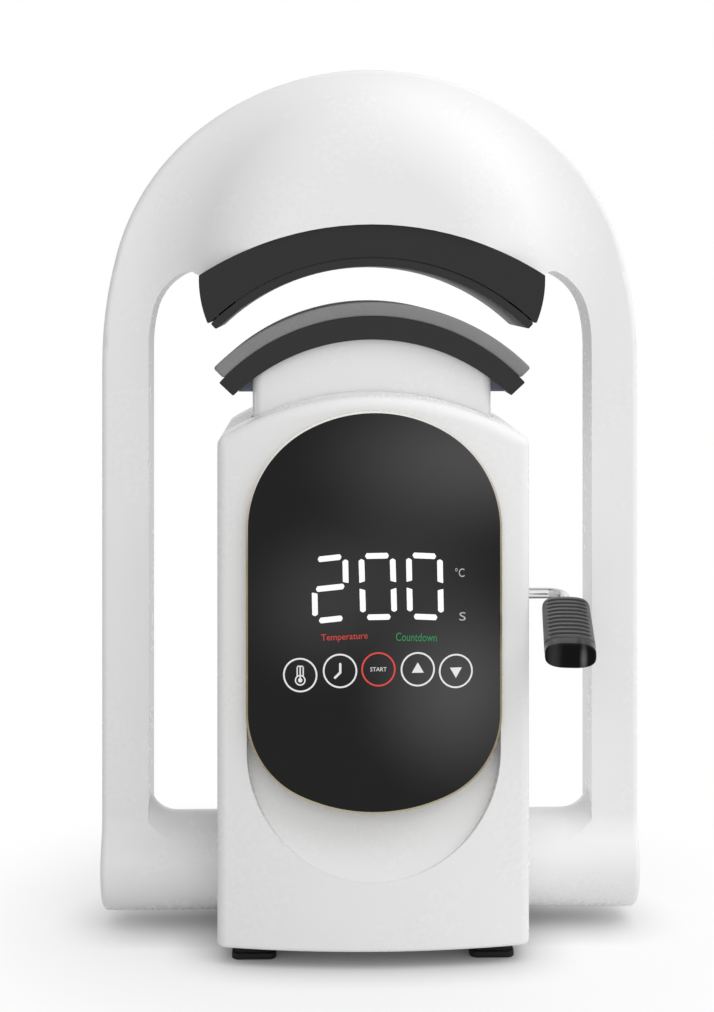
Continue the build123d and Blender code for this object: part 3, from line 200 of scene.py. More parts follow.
@dataclass
class TextureShelf:
    """The shared effects, each built once as a node group.

    Attributes:
        made: The groups, by effect.
        edges: Where the mask of an effect or of its part starts, and where it is full.
        scales: Scale of a part, per metre.
        shares: Scale of a part, as a share of its effect's, and the strength of the dust's film.
    """

    made: dict[Texture, bpy.types.NodeTree] = field(default_factory=dict)
    edges: ClassVar[dict[str, Pair]] = {
        "grain": (0.3, 0.7), "streaks": (0.35, 0.65), "slope": (0.55, 0.98),
        "specks": (0.6, 0.72), "smears": (0.45, 0.7), "lines": (0.35, 0.7), "cells": (0.2, 0.8)}
    scales: ClassVar[dict[str, float]] = {"specks": 2600.0, "film": 45.0}
    shares: ClassVar[dict[str, float]] = {"cells": 0.6, "broad": 0.05, "lines": 14.0, "film": 0.5}

    def start(self, texture: Texture, outputs: tuple[str, ...],
              **inputs: float) -> tuple[Sheet, Node, Node]:
        """Starts a group with named sockets.

        Args:
            texture: The effect.
            outputs: Its number outputs.
            inputs: Its number inputs with their defaults.

        Returns:
            The sheet of the group's tree, and the nodes of its inputs and of its outputs.
        """
        tree = bpy.data.node_groups.new(texture.value, "ShaderNodeTree")
        for name, value in inputs.items():
            socket = tree.interface.new_socket(name, in_out="INPUT", socket_type="NodeSocketFloat")
            socket.default_value = value
        for name in outputs:
            tree.interface.new_socket(name, in_out="OUTPUT", socket_type="NodeSocketFloat")
        self.made[texture] = tree
        return Sheet(tree), tree.nodes.new("NodeGroupInput"), tree.nodes.new("NodeGroupOutput")

    def grain(self) -> None:
        """Builds the fine grain of moulded, coated and cast skins."""
        sheet, enter, leave = self.start(Texture.GRAIN, ("Height", "Mask"), Scale=1500.0)
        place, scale = sheet.place(), enter.outputs["Scale"]
        fine = sheet.noise(place, scale, 2.0)
        size = sheet.calc("MULTIPLY", scale, self.shares["cells"])
        cells = sheet.add("TexVoronoi", {"Vector": place, "Scale": size}, feature="SMOOTH_F1")
        broad = sheet.noise(place, sheet.calc("MULTIPLY", scale, self.shares["broad"]))
        both = sheet.calc("MULTIPLY_ADD", fine, 0.5, sheet.calc("MULTIPLY", broad, 0.5))
        sheet.feed(leave, {"Height": sheet.calc("ADD", fine, cells.outputs["Distance"]),
                           "Mask": sheet.ramp(both, *self.edges["grain"])})

    def streaks(self) -> None:
        """Builds the fine lines of drawn, turned or ground metal."""
        sheet, enter, leave = self.start(Texture.STREAKS, ("Height", "Mask"),
                                         Scale=900.0, X=1.0, Y=1.0, Z=1.0)
        stretch = sheet.add("CombineXYZ", {axis: enter.outputs[axis] for axis in "XYZ"})
        drawn = {0: sheet.place(), 1: stretch.outputs[0]}
        place = sheet.add("VectorMath", drawn, operation="MULTIPLY").outputs[0]
        lines = sheet.noise(place, enter.outputs["Scale"], 4.0, 0.7)
        sheet.feed(leave, {"Height": lines, "Mask": sheet.ramp(lines, *self.edges["streaks"])})

    def dust(self) -> None:
        """Builds the thin dust that settles on faces that look up."""
        sheet, enter, leave = self.start(Texture.DUST, ("Mask",), Amount=0.2)
        facing = sheet.axis(sheet.add("NewGeometry").outputs["Normal"], "Z")
        place = sheet.place()
        specks = sheet.noise(place, self.scales["specks"], 2.0)
        film = sheet.noise(place, self.scales["film"], 4.0)
        thick = sheet.calc("MAXIMUM", sheet.ramp(specks, *self.edges["specks"]),
                           sheet.calc("MULTIPLY", film, self.shares["film"]))
        settled = sheet.calc("MULTIPLY", sheet.ramp(facing, *self.edges["slope"]), thick)
        sheet.feed(leave, {"Mask": sheet.calc("MULTIPLY", settled, enter.outputs["Amount"])})

    def smudge(self) -> None:
        """Builds the faint smears that hands leave on gloss."""
        sheet, enter, leave = self.start(Texture.SMUDGE, ("Mask",), Scale=30.0)
        place, scale = sheet.place(), enter.outputs["Scale"]
        smears = sheet.ramp(sheet.noise(place, scale, 5.0, 0.6), *self.edges["smears"])
        fine = sheet.noise(place, sheet.calc("MULTIPLY", scale, self.shares["lines"]))
        lines = sheet.ramp(fine, *self.edges["lines"])
        sheet.feed(leave, {"Mask": sheet.calc("MULTIPLY", smears, lines)})

    def waves(self) -> None:
        """Builds the long soft waves of moulded and polished skins."""
        sheet, enter, leave = self.start(Texture.WAVES, ("Height",), Scale=60.0)
        sheet.feed(leave, {"Height": sheet.noise(sheet.place(), enter.outputs["Scale"], 2.0, 0.4)})

    def patch(self) -> None:
        """Builds the mask of a painted reflection: a soft patch, which fades from its middle
        outwards.
        """
        sheet, enter, leave = self.start(Texture.PAINTED_REFLECTION, ("Mask",), X=0.0, Z=0.0,
                                         Wide=1.0, Deep=1.0, High=1.0, Strength=1.0)
        middle = sheet.add("CombineXYZ", {axis: enter.outputs[axis] for axis in "XZ"})
        radii = [enter.outputs[name] for name in ("Wide", "Deep", "High")]
        radii = sheet.add("CombineXYZ", dict(enumerate(radii)))
        place = sheet.add("Mapping", {"Vector": sheet.place(), "Location": middle.outputs[0],
                                      "Scale": radii.outputs[0]}, vector_type="TEXTURE")
        away = sheet.length(place.outputs[0])
        sheet.feed(leave, {"Mask": sheet.ramp(away, 0.0, 1.0, enter.outputs["Strength"], 0.0)})

    def cells(self) -> None:
        """Builds the slight unevenness of lit marks."""
        sheet, enter, leave = self.start(Texture.CELLS, ("Mask",), Scale=420.0)
        cells = sheet.noise(sheet.place(), enter.outputs["Scale"], 2.0)
        sheet.feed(leave, {"Mask": sheet.ramp(cells, *self.edges["cells"])})

    def build(self) -> None:
        """Builds every group."""
        for group in (self.grain, self.streaks, self.dust, self.smudge, self.waves, self.patch,
                      self.cells):
            group()

    def place(self, sheet: Sheet, texture: Texture, **values: float) -> Node:
        """Places a group in a material, with its inputs by name."""
        return sheet.add("Group", values, node_tree=self.made[texture])


# Finishes


def grey(level: float) -> Triple:
    """A neutral colour of one level."""
    return (level, level, level)


@dataclass(frozen=True)
class Finish:
    """A finish with two close tones, a roughness range and a fine relief.

    Attributes:
        tone: The main colour.
        shade: The colour that the texture breaks it with.
        matt: The lowest and highest roughness.
        relief: Height of the relief, in metres.
        grain: Scale of the grain, per metre.
        metal: Metallic share.
        specular: Specular level.
        dust: Strength of the dust.
        dust_tone: Colour of the dust.
    """

    tone: Triple
    shade: Triple
    matt: Pair = (0.4, 0.5)
    relief: float = 0.00002
    grain: float = 1500.0
    metal: float = 0.0
    specular: float = 0.5
    dust: float = 0.0
    dust_tone: Triple = (0.62, 0.6, 0.57)

    def texture(self, sheet: Sheet, shelf: TextureShelf) -> Node:
        """Places the effect that breaks up the surface."""
        return shelf.place(sheet, Texture.GRAIN, Scale=self.grain)

    def pattern(self, sheet: Sheet, shelf: TextureShelf) -> tuple[Socket, Socket]:
        """Places what breaks up the surface, and returns its mask and its height."""
        outputs = self.texture(sheet, shelf).outputs
        return outputs["Mask"], outputs["Height"]

    def layers(self, sheet: Sheet, shelf: TextureShelf) -> list[Layer]:
        """Masks, each with the colour that it lays over the tones. The base has none."""
        return []

    def light(self, sheet: Sheet, shelf: TextureShelf, shader: Node) -> None:
        """Makes the finish glow. The base doesn't."""

    def material(self, name: str, shelf: TextureShelf) -> bpy.types.Material:
        """Builds the material.

        Args:
            name: The material's name.
            shelf: The shared effects.

        Returns:
            The new material.
        """
        made = bpy.data.materials.new(name)
        made.use_nodes = True
        made.diffuse_color = (*self.tone, 1.0)
        sheet = Sheet(made.node_tree)
        shader = made.node_tree.nodes["Principled BSDF"]
        mask, height = self.pattern(sheet, shelf)
        colour = sheet.blend(mask, self.tone, self.shade)
        if self.dust:
            dust = shelf.place(sheet, Texture.DUST, Amount=self.dust).outputs["Mask"]
            colour = sheet.blend(dust, colour, self.dust_tone)
        for layer, tone in self.layers(sheet, shelf):
            colour = sheet.blend(layer, colour, tone)
        bump = sheet.add("Bump", {"Strength": 1.0, "Distance": self.relief, "Height": height})
        sheet.feed(shader, {
            "Base Color": colour, "Roughness": sheet.ramp(mask, 0.0, 1.0, *self.matt),
            "Normal": bump.outputs["Normal"], "Metallic": self.metal,
            "Specular IOR Level": self.specular})
        self.light(sheet, shelf, shader)
        return made


@dataclass(frozen=True)
class Gloss(Finish):
    """Polished moulded plastic: long soft waves and faint smears.

    Attributes:
        waves: Scale of the waves, per metre.
        smear: Scale of the smears, per metre.
    """

    waves: float = 60.0
    smear: float = 25.0

    def pattern(self, sheet: Sheet, shelf: TextureShelf) -> tuple[Socket, Socket]:
        """Places the smears as the mask and the moulding waves as the height."""
        smears = shelf.place(sheet, Texture.SMUDGE, Scale=self.smear).outputs["Mask"]
        return smears, shelf.place(sheet, Texture.WAVES, Scale=self.waves).outputs["Height"]


@dataclass(frozen=True)
class PaintedReflection(Gloss):
    """Glass, gloss or chrome with painted reflections: soft spots of another tone painted into the
    colour, painted highlights where lighter and painted dark reflections where darker.

    Attributes:
        reflection_tone: Colour of the painted reflection: pale for a painted highlight, dark for a
            painted dark reflection.
        painted_reflections: Each painted reflection's middle across and up, its two radii and its
            strength, in metres.
        reach: How far a patch reaches back, in metres.
    """

    reflection_tone: Triple = grey(0.08)
    painted_reflections: tuple[tuple[float, ...], ...] = ()
    reach: float = 10.0

    def layers(self, sheet: Sheet, shelf: TextureShelf) -> list[Layer]:
        """The painted reflections, each a soft mask with the painted tone."""
        sizes = [dict(zip(("X", "Z", "Wide", "High", "Strength"), patch)) for patch in self.painted_reflections]
        return [(shelf.place(sheet, Texture.PAINTED_REFLECTION, Deep=self.reach, **size).outputs["Mask"],
                 self.reflection_tone) for size in sizes]


@dataclass(frozen=True)
class Drawn(Finish):
    """Metal with fine lines along one direction.

    Attributes:
        stretch: How much the lines are drawn out along each axis: less is longer.
        metal: Metallic share.
    """

    stretch: Triple = (0.04, 1.0, 1.0)
    metal: float = 1.0

    def texture(self, sheet: Sheet, shelf: TextureShelf) -> Node:
        """Places the drawn lines."""
        stretch = dict(zip("XYZ", self.stretch))
        return shelf.place(sheet, Texture.STREAKS, Scale=self.grain, **stretch)


@dataclass(frozen=True)
class PaintedReflectionByHeight(Drawn):
    """Drawn metal that turns paler towards its crown and its toe.

    Attributes:
        crown: Colour of the painted highlight at the top.
        toe: Colour of the painted reflection at the bottom.
        crown_heights: Where the painted highlight starts and where it is full, in metres.
        toe_heights: Where the painted reflection at the bottom starts and where it is full.
    """

    crown: Triple = grey(0.9)
    toe: Triple = grey(0.5)
    crown_heights: Pair = (0.0, 1.0)
    toe_heights: Pair = (0.0, -1.0)

    def layers(self, sheet: Sheet, shelf: TextureShelf) -> list[Layer]:
        """The painted highlight at the crown and the painted reflection at the toe, by height."""
        height = sheet.axis(sheet.place(), "Z")
        return [(sheet.ramp(height, *self.crown_heights), self.crown),
                (sheet.ramp(height, *self.toe_heights), self.toe)]


@dataclass(frozen=True)
class Glowing(Finish):
    """A lit mark behind glass.

    Attributes:
        glow: Strength of the light.
        cells: Scale of its unevenness, per metre.
        dimmed: The darkest part's share of the colour.
    """

    glow: float = 1.0
    cells: float = 420.0
    dimmed: float = 0.86

    def light(self, sheet: Sheet, shelf: TextureShelf, shader: Node) -> None:
        """Makes the mark glow in its own colour, a little unevenly."""
        mask = shelf.place(sheet, Texture.CELLS, Scale=self.cells).outputs["Mask"]
        sheet.feed(shader, {"Emission Strength": self.glow, "Emission Color": sheet.blend(
            mask, tuple(self.dimmed * part for part in self.tone), self.tone)})


FINISHES: dict[Slot, Finish] = {
    Slot.WHITE_GLOSS: Gloss(
        grey(0.85), (0.843, 0.843, 0.842), (0.27, 0.3), 0.000008, specular=0.33),
    Slot.ZINC_SCREW: Finish(
        (0.62, 0.62, 0.6), (0.5, 0.5, 0.49), (0.22, 0.4), 0.00001, 2600.0, 1.0),
    Slot.PLATE_STEEL: Drawn(
        (0.56, 0.57, 0.58), (0.47, 0.48, 0.5), (0.28, 0.42), 0.00001, 1400.0),
    Slot.FOOT_RUBBER: Finish(
        grey(0.008), grey(0.011), (0.6, 0.75), 0.00005, 1800.0, specular=0.3),
    Slot.BRONZE: Finish(
        (0.6, 0.4, 0.2), (0.45, 0.3, 0.16), (0.3, 0.48), 0.00002, 2400.0, 1.0),
    Slot.CAST_ALUMINIUM: Drawn(
        (0.7, 0.7, 0.71), (0.6, 0.6, 0.62), (0.24, 0.36), 0.00001, 1100.0,
        stretch=(1.0, 0.05, 1.0)),
    Slot.SADDLE_PAINT: Finish(
        (0.105, 0.12, 0.16), (0.125, 0.14, 0.18), (0.42, 0.55), 0.00004),
    # painted reflection: lighter soft spots on the black glass stand in for broad reflections of
    # the studio
    Slot.PANEL_GLASS: PaintedReflection(
        (0.006, 0.006, 0.0063), (0.0075, 0.0075, 0.0078), (0.12, 0.17), 0.000004, specular=0.16,
        waves=20.0, smear=40.0, painted_reflections=(
            (0.047, 0.258, 0.095, 0.050, 0.80), (0.042, 0.142, 0.060, 0.062, 0.85),
            (-0.030, 0.182, 0.048, 0.048, 0.35), (0.010, 0.200, 0.070, 0.055, 0.30))),
    # painted reflection: the rim turns paler at its top and its bottom by height, in place of the
    # light it mirrors
    Slot.GOLD_RIM: PaintedReflectionByHeight(
        (0.34, 0.29, 0.2), (0.27, 0.22, 0.14), (0.2, 0.34), 0.000005, 900.0,
        stretch=(1.0, 1.0, 0.1), crown=(0.86, 0.84, 0.8), toe=(0.44, 0.39, 0.28),
        crown_heights=(0.195, 0.285), toe_heights=(0.112, 0.083)),
    Slot.CIRCUIT_BOARD: Finish((0.02, 0.16, 0.07), (0.03, 0.2, 0.09), (0.35, 0.5), grain=900.0),
    Slot.LED_MODULE: Gloss(grey(0.02), grey(0.03), (0.2, 0.3), 0.00001),
    Slot.SWITCH_BLACK: Finish((0.022, 0.022, 0.023), grey(0.03), (0.35, 0.5), grain=2200.0),
    Slot.BRIGHT_PIN: Drawn(grey(0.78), (0.68, 0.68, 0.69), (0.12, 0.22), 0.000004, 1600.0),
    Slot.WASHER_WHITE: Finish((0.72, 0.72, 0.71), (0.66, 0.66, 0.65), grain=1600.0),
    Slot.COVER_BLACK: Finish(
        (0.021, 0.021, 0.0213), (0.022, 0.022, 0.0224), (0.44, 0.5), 0.00001, 2000.0,
        specular=0.22, dust=0.004),
    Slot.PLATEN_COAT: Finish(
        (0.02, 0.02, 0.0204), (0.0212, 0.0212, 0.0216), (0.42, 0.48), 0.00001, 1600.0,
        specular=0.26, dust=0.004),
    Slot.ELEMENT_FOIL: Gloss((0.14, 0.06, 0.02), (0.11, 0.05, 0.017), (0.2, 0.3), 0.00001),
    Slot.CERAMIC_FIBRE: Finish((0.78, 0.76, 0.71), (0.66, 0.64, 0.6), (0.8, 0.95), 0.0004, 500.0),
    Slot.SENSOR_BRASS: Finish(
        (0.62, 0.47, 0.24), (0.52, 0.38, 0.2), (0.24, 0.4), 0.00001, 2000.0, 1.0),
    Slot.PAD_SILICONE: Finish(grey(0.2), grey(0.235), (0.55, 0.7), 0.00006, 1300.0, dust=0.06),
    Slot.SPRING_STEEL: Drawn(
        (0.5, 0.5, 0.52), (0.4, 0.4, 0.42), (0.25, 0.4), 0.00001, 1400.0),
    Slot.CAM_STEEL: Drawn(
        (0.42, 0.42, 0.44), (0.34, 0.34, 0.36), (0.25, 0.38), 0.00001, 1400.0),
    # painted dark reflections: thin dark lines and two small dark spots on the chrome rod
    Slot.ROD_CHROME: PaintedReflection(
        grey(0.8), grey(0.74), (0.14, 0.2), 0.000003, metal=1.0, reflection_tone=grey(0.12), painted_reflections=(
            (0.0900, 0.1741, 0.0500, 0.0016, 0.95), (0.0900, 0.1790, 0.0500, 0.0012, 0.40),
            (0.1032, 0.1765, 0.0018, 0.0026, 0.85), (0.1086, 0.1765, 0.0016, 0.0040, 0.85))),
    Slot.GRIP_GREY: Finish(
        (0.026, 0.026, 0.0265), (0.031, 0.031, 0.0315), (0.38, 0.46), grain=2200.0,
        specular=0.34),
    # painted highlight: a narrow pale upright stripe and a faint wider one on the glossy black cap
    Slot.CAP_BLACK: PaintedReflection(
        grey(0.004), grey(0.005), (0.1, 0.15), 0.00001, specular=0.05, reflection_tone=grey(0.3), painted_reflections=(
            (0.0998, 0.1640, 0.0024, 0.0100, 0.42), (0.0855, 0.1640, 0.0050, 0.0300, 0.10))),
}


@dataclass
class Workshop:
    """Holds the materials and dresses nodes and new pieces with them.

    Attributes:
        shelf: The shared effects.
        made: The materials that exist so far, by name.
    """

    shelf: TextureShelf
    made: dict[str, bpy.types.Material] = field(default_factory=dict)

    def finish(self, name: str, finish: Finish) -> bpy.types.Material:
        """Builds a material once.

        Args:
            name: The material's name.
            finish: Its finish.

        Returns:
            The material.
        """
        if name not in self.made:
            self.made[name] = finish.material(name, self.shelf)
        return self.made[name]

    def dress(self, slot: Slot, *nodes: str) -> None:
        """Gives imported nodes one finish.

        Args:
            slot: Their finish.
            nodes: Their names.
        """
        material = self.finish(slot.value, FINISHES[slot])
        for node in nodes:
            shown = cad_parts[node]
            if not shown.material_slots:
                shown.data.materials.append(None)
            for place in shown.material_slots:
                place.link = "OBJECT"
                place.material = material
            LOG.info("dressed %s in %s", node, slot.value)

    def piece(self, name: str, mesh: bmesh.types.BMesh, slot: Slot, body: Body,
              finish: Finish | None = None) -> bpy.types.Object:
        """Makes a new piece of the press from a bmesh.

        Args:
            name: The piece's name.
            mesh: Its shape, freed here.
            slot: The record's slot that it belongs to.
            body: The body it rides on.
            finish: Its own finish, if the slot's isn't used.

        Returns:
            The new object.
        """
        made = shown_mesh(name, mesh)
        own = (slot.value, FINISHES[slot]) if finish is None else (name, finish)
        made.data.materials.append(self.finish(*own))
        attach(made, body.value)
        LOG.info("built %s on %s", name, body.value)
        return made


def shown_mesh(name: str, mesh: bmesh.types.BMesh) -> bpy.types.Object:
    """Shows a bmesh as an object.

    Args:
        name: The object's name.
        mesh: Its shape, freed here.

    Returns:
        The new object.
    """
    data = bpy.data.meshes.new(name)
    mesh.to_mesh(data)
    mesh.free()
    made = bpy.data.objects.new(name, data)
    bpy.context.scene.collection.objects.link(made)
    return made


# Sub-assemblies


@dataclass(frozen=True)
class Assembly:
    """A sub-assembly of the press.

    Attributes:
        workshop: What makes and dresses its pieces.
        dressed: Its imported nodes, by their finish.
    """

    workshop: Workshop
    dressed: ClassVar[dict[Slot, tuple[str, ...]]] = {}

    def pieces(self) -> None:
        """Builds the new pieces. A sub-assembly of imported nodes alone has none."""

    def build(self) -> None:
        """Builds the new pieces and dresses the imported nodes."""
        self.pieces()
        for slot, nodes in self.dressed.items():
            self.workshop.dress(slot, *nodes)


@dataclass(frozen=True)
class Cabinet(Assembly):
    """The white body with its feet and the chassis inside it."""

    dressed = {
        Slot.WHITE_GLOSS: ("front_housing", "rear_housing"),
        Slot.ZINC_SCREW: ("housing_screws", "foot_screws", "bridge_screws"),
        Slot.PLATE_STEEL: ("base_plate", "side_frames"),
        Slot.FOOT_RUBBER: ("rubber_feet",),
        Slot.BRONZE: ("pivot_bushes", "lever_bushes", "column_bush", "rod_bushes"),
        Slot.CAST_ALUMINIUM: ("guide_bridge",),
    }


@dataclass(frozen=True)
class Arch(Assembly):
    """The white arch that tilts on the pivot shaft."""

    dressed = {
        Slot.WHITE_GLOSS: ("arch_front_shell", "arch_rear_shell"),
        Slot.PLATE_STEEL: ("arch_spine", "hub_blocks"),
        Slot.BRIGHT_PIN: ("pivot_shaft",),
        Slot.WASHER_WHITE: ("hub_washers",),
        Slot.ZINC_SCREW: ("arch_screws",),
    }


@dataclass(frozen=True)
class UpperPlaten(Assembly):
    """The heated platen under the arch's crown, with what hangs it."""

    dressed = {
        Slot.COVER_BLACK: ("upper_cover",),
        Slot.PLATEN_COAT: ("heater_plate",),
        Slot.ELEMENT_FOIL: ("heating_element",),
        Slot.CERAMIC_FIBRE: ("insulation_pad",),
        Slot.SENSOR_BRASS: ("thermal_cutout", "temperature_probe", "heater_standoffs"),
        Slot.PLATE_STEEL: ("hanger_bars",),
        Slot.ZINC_SCREW: ("hanger_nuts",),
    }


@dataclass(frozen=True)
class LowerPlaten(Assembly):
    """The curved lower platen with its soft pad, saddle, neck, ram and springs.

    Attributes:
        pad_radius: Radius of the pad's top.
        pad_centre: Height of the centre that it bends about.
        pad_thick: The pad's thickness.
        pad_angle: Half the angle that it spans.
        pad_half_depth: Half its depth, front to back.
        pad_edge: Size of its softened edges.
        pad_steps: Number of strips along its bend and across its depth.
        edge_angle: The angle from which an edge is softened.
        spring_travel: How much the springs would shorten over the ram's travel. Not used.
    """

    dressed = {
        Slot.PLATEN_COAT: ("lower_plate",),
        Slot.SADDLE_PAINT: ("saddle_bracket",),
        Slot.WHITE_GLOSS: ("neck_cover",),
        Slot.ZINC_SCREW: ("platen_screws", "neck_screws", "ram_screws"),
        Slot.BRIGHT_PIN: ("ram_column", "cam_roller", "roller_pin", "guide_rods"),
        Slot.PLATE_STEEL: ("rod_plate", "spring_washers"),
    }
    pad_radius: float = 116.4 * MM
    pad_centre: float = 219.2 * MM
    pad_thick: float = 7.4 * MM
    pad_angle: float = math.radians(45.2)
    pad_half_depth: float = 45.0 * MM
    pad_edge: float = 1.3 * MM
    pad_steps: tuple[int, int] = (72, 24)
    edge_angle: float = 1.0
    spring_travel: float = 18.4 * MM

    def pad(self) -> None:
        """Builds the silicone pad: one thick strip bent over the platen, with softened edges."""
        mesh = bmesh.new()
        around, across = self.pad_steps
        middle = self.pad_radius - self.pad_thick / 2
        turn = Matrix.Rotation(-self.pad_angle, 4, "Y")
        stand = Matrix.Translation((0, 0, self.pad_centre)) @ turn
        size = Matrix.Diagonal((self.pad_thick, 2 * self.pad_half_depth, 1, 1))
        upright = Matrix.Rotation(math.radians(90), 4, "Y")
        flat = Matrix.Translation((0, 0, middle)) @ upright @ size
        bmesh.ops.create_grid(mesh, x_segments=2, y_segments=across, size=0.5,
                              matrix=stand @ flat)
        bmesh.ops.spin(mesh, geom=[*mesh.verts, *mesh.edges, *mesh.faces],
                       cent=(0, 0, self.pad_centre), axis=(0, 1, 0), angle=2 * self.pad_angle,
                       steps=around, use_duplicate=False)
        bmesh.ops.remove_doubles(mesh, verts=mesh.verts, dist=0.001 * MM)
        bmesh.ops.recalc_face_normals(mesh, faces=mesh.faces)
        rim = [edge for edge in mesh.edges
               if len(edge.link_faces) == 2 and edge.calc_face_angle(0) > self.edge_angle]
        bmesh.ops.bevel(mesh, geom=rim, offset=self.pad_edge, offset_type="OFFSET", segments=3,
                        profile=0.5, affect="EDGES", material=-1, clamp_overlap=True)
        for face in mesh.faces:
            face.smooth = True
        pad = self.workshop.piece("pad_sheet", mesh, Slot.PAD_SILICONE, Body.RAM)
        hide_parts("silicone_pad")

    def springs(self) -> None:
        """Copies the return springs as one piece that rides on the ram."""
        mesh = bmesh.new()
        mesh.from_mesh(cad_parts["return_springs"].data)
        bmesh.ops.remove_doubles(mesh, verts=mesh.verts, dist=0.001 * MM)
        springs = self.workshop.piece("coil_springs", mesh, Slot.SPRING_STEEL, Body.RAM)
        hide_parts("return_springs")
        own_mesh(springs)

    def pieces(self) -> None:
        """Builds the pad and the springs."""
        self.pad()
        self.springs()


@dataclass(frozen=True)
class Section:
    """A section across the grip.

    Attributes:
        station: How far forward it is, in millimetres.
        size: Its share of the full section.
        depth: Depth of the groove there.
    """

    station: float
    size: float = 1.0
    depth: float = 0.0


@dataclass(frozen=True)
class Lever(Assembly):
    """The side lever with its grip, its shaft and the cam. Its sizes are in millimetres.

    Attributes:
        corner: Where the grip's axis leaves the rod's corner.
        far_end: Another point of that axis, in front.
        half_size: Half the grip's width and half its thickness.
        fullness: How square the grip's section is: 2 is an ellipse.
        end_width: How much of an end's shrinking its width keeps.
        sides: Number of sides of the section.
        start: From the corner to the grip's rear end.
        length: The grip's length with its cap.
        cap: Length of the cap.
        dome: The rounded rear end: its length, its least and largest size, its number of steps.
        nose: The cap's rounded front, likewise.
        sleeve_end: The last sections of the sleeve, each its distance from the cap and its size.
        cap_end: The first sections of the cap, likewise.
        ribs: Number of grooves on each face.
        rib_row: From the rear end to the first groove, and from groove to groove.
        rib_half: Half the width of a groove at its floor and at its mouth.
        rib_depth: Depth of a groove.
        rib_reach: Half the length of a groove at its full depth, and in all.
        sharp: The angle from which an edge of the grip is sharp.
        close: Two points closer than this are one.
    """

    dressed = {
        Slot.BRIGHT_PIN: ("lever_shaft",),
        Slot.SPRING_STEEL: ("retaining_rings",),
        Slot.CAM_STEEL: ("lever_cam",),
        Slot.ZINC_SCREW: ("cam_set_screw",),
        Slot.ROD_CHROME: ("lever_rod",),
    }
    corner: Vector = Vector((106.2, 0.0, 174.9))
    far_end: Vector = Vector((95.2, -100.0, 166.5))
    half_size: Pair = (12.6, 6.3)
    fullness: float = 2.9
    end_width: float = 0.5
    sides: int = 96
    start: float = 19.0
    length: float = 97.0
    cap: float = 11.5
    dome: tuple[float, float, float, int] = (11.0, 0.42, 1.0, 8)
    nose: tuple[float, float, float, int] = (2.6, 0.78, 0.98, 6)
    sleeve_end: tuple[Pair, ...] = ((-0.8, 1.0), (-0.25, 0.96))
    cap_end: tuple[Pair, ...] = ((-0.2, 0.93), (0.3, 0.98))
    ribs: int = 10
    rib_row: Pair = (13.1, 7.2)
    rib_half: Pair = (1.5, 2.0)
    rib_depth: float = 1.1
    rib_reach: Pair = (8.6, 10.6)
    sharp: float = math.radians(32)
    close: float = 0.0001

    def along_rod(self) -> Matrix:
        """The grip's own frame: X across it, Y up and Z forward along it.

        Returns:
            The frame, in metres.
        """
        forward = (self.far_end - self.corner).normalized()
        across = Vector((0, 0, 1)).cross(forward).normalized()
        turn = Matrix((across, forward.cross(across), forward)).transposed().to_4x4()
        rear = Matrix.Translation(self.corner + forward * self.start)
        return Matrix.Scale(MM, 4) @ rear @ turn

    def shape(self, vert: bmesh.types.BMVert, turn: float, section: Section) -> None:
        """Puts one vertex of a section in its place.

        Args:
            vert: The vertex.
            turn: Its angle around the section.
            section: The section.
        """
        across, up = (math.copysign(abs(part) ** (2 / self.fullness), part) * half
                      for part, half in zip((math.cos(turn), math.sin(turn)), self.half_size))
        full, whole = self.rib_reach
        share = min(1.0, max(0.0, (whole - abs(across)) / (whole - full)))
        height = max(0.0, section.size * abs(up) - section.depth * share)
        width = across * (self.end_width + (1 - self.end_width) * section.size)
        vert.co = (width, math.copysign(height, up), section.station)

    def lofted(self, sections: list[Section]) -> bmesh.types.BMesh:
        """Lofts a closed bar through sections on the grip's axis.

        Args:
            sections: The sections, from the rear to the front.

        Returns:
            The bar, in place.
        """
        mesh = bmesh.new()
        turn = mesh.verts.layers.float.new("turn")
        ring = bmesh.ops.create_circle(mesh, segments=self.sides, radius=1.0, cap_ends=True)
        for vert in ring["verts"]:
            vert[turn] = math.atan2(vert.co.y, vert.co.x)
            self.shape(vert, vert[turn], sections[0])
        edges = list(mesh.edges)
        for section in sections[1:]:
            grown = bmesh.ops.extrude_edge_only(mesh, edges=edges)["geom"]
            for vert in (item for item in grown if isinstance(item, bmesh.types.BMVert)):
                self.shape(vert, vert[turn], section)
            edges = [item for item in grown if isinstance(item, bmesh.types.BMEdge)
                     and all(abs(vert.co.z - section.station) < self.close for vert in item.verts)]
        bmesh.ops.contextual_create(mesh, geom=edges)
        bmesh.ops.remove_doubles(mesh, verts=mesh.verts, dist=self.close)
        bmesh.ops.recalc_face_normals(mesh, faces=mesh.faces)
        for face in mesh.faces:
            face.smooth = len(face.verts) <= 4
        for edge in mesh.edges:
            edge.smooth = edge.calc_face_angle(0.0) < self.sharp
        bmesh.ops.transform(mesh, matrix=self.along_rod(), verts=mesh.verts)
        return mesh

    def rounded(self, length: float, least: float, full: float, steps: int) -> list[Pair]:
        """A rounded end's sections, each its distance from the tip and its size."""
        turns = (math.radians(90) * step / steps for step in range(steps + 1))
        return [(length * (1 - math.cos(turn)), least + (full - least) * math.sin(turn))
                for turn in turns]

    def sleeve(self) -> None:
        """Builds the ribbed sleeve with its rounded rear end."""
        sections = [Section(away, size) for away, size in self.rounded(*self.dome)]
        first, pitch = self.rib_row
        floor, mouth = self.rib_half
        for middle in (first + pitch * rib for rib in range(self.ribs)):
            sections += [Section(middle + away, depth=depth) for away, depth in (
                (-mouth, 0.0), (-floor, self.rib_depth), (floor, self.rib_depth), (mouth, 0.0))]
        last = self.length - self.cap
        sections += [Section(last + away, size) for away, size in self.sleeve_end]
        mesh = self.lofted(sections)
        sleeve = self.workshop.piece("ribbed_grip", mesh, Slot.GRIP_GREY, Body.LEVER)
        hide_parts("grip_sleeve")

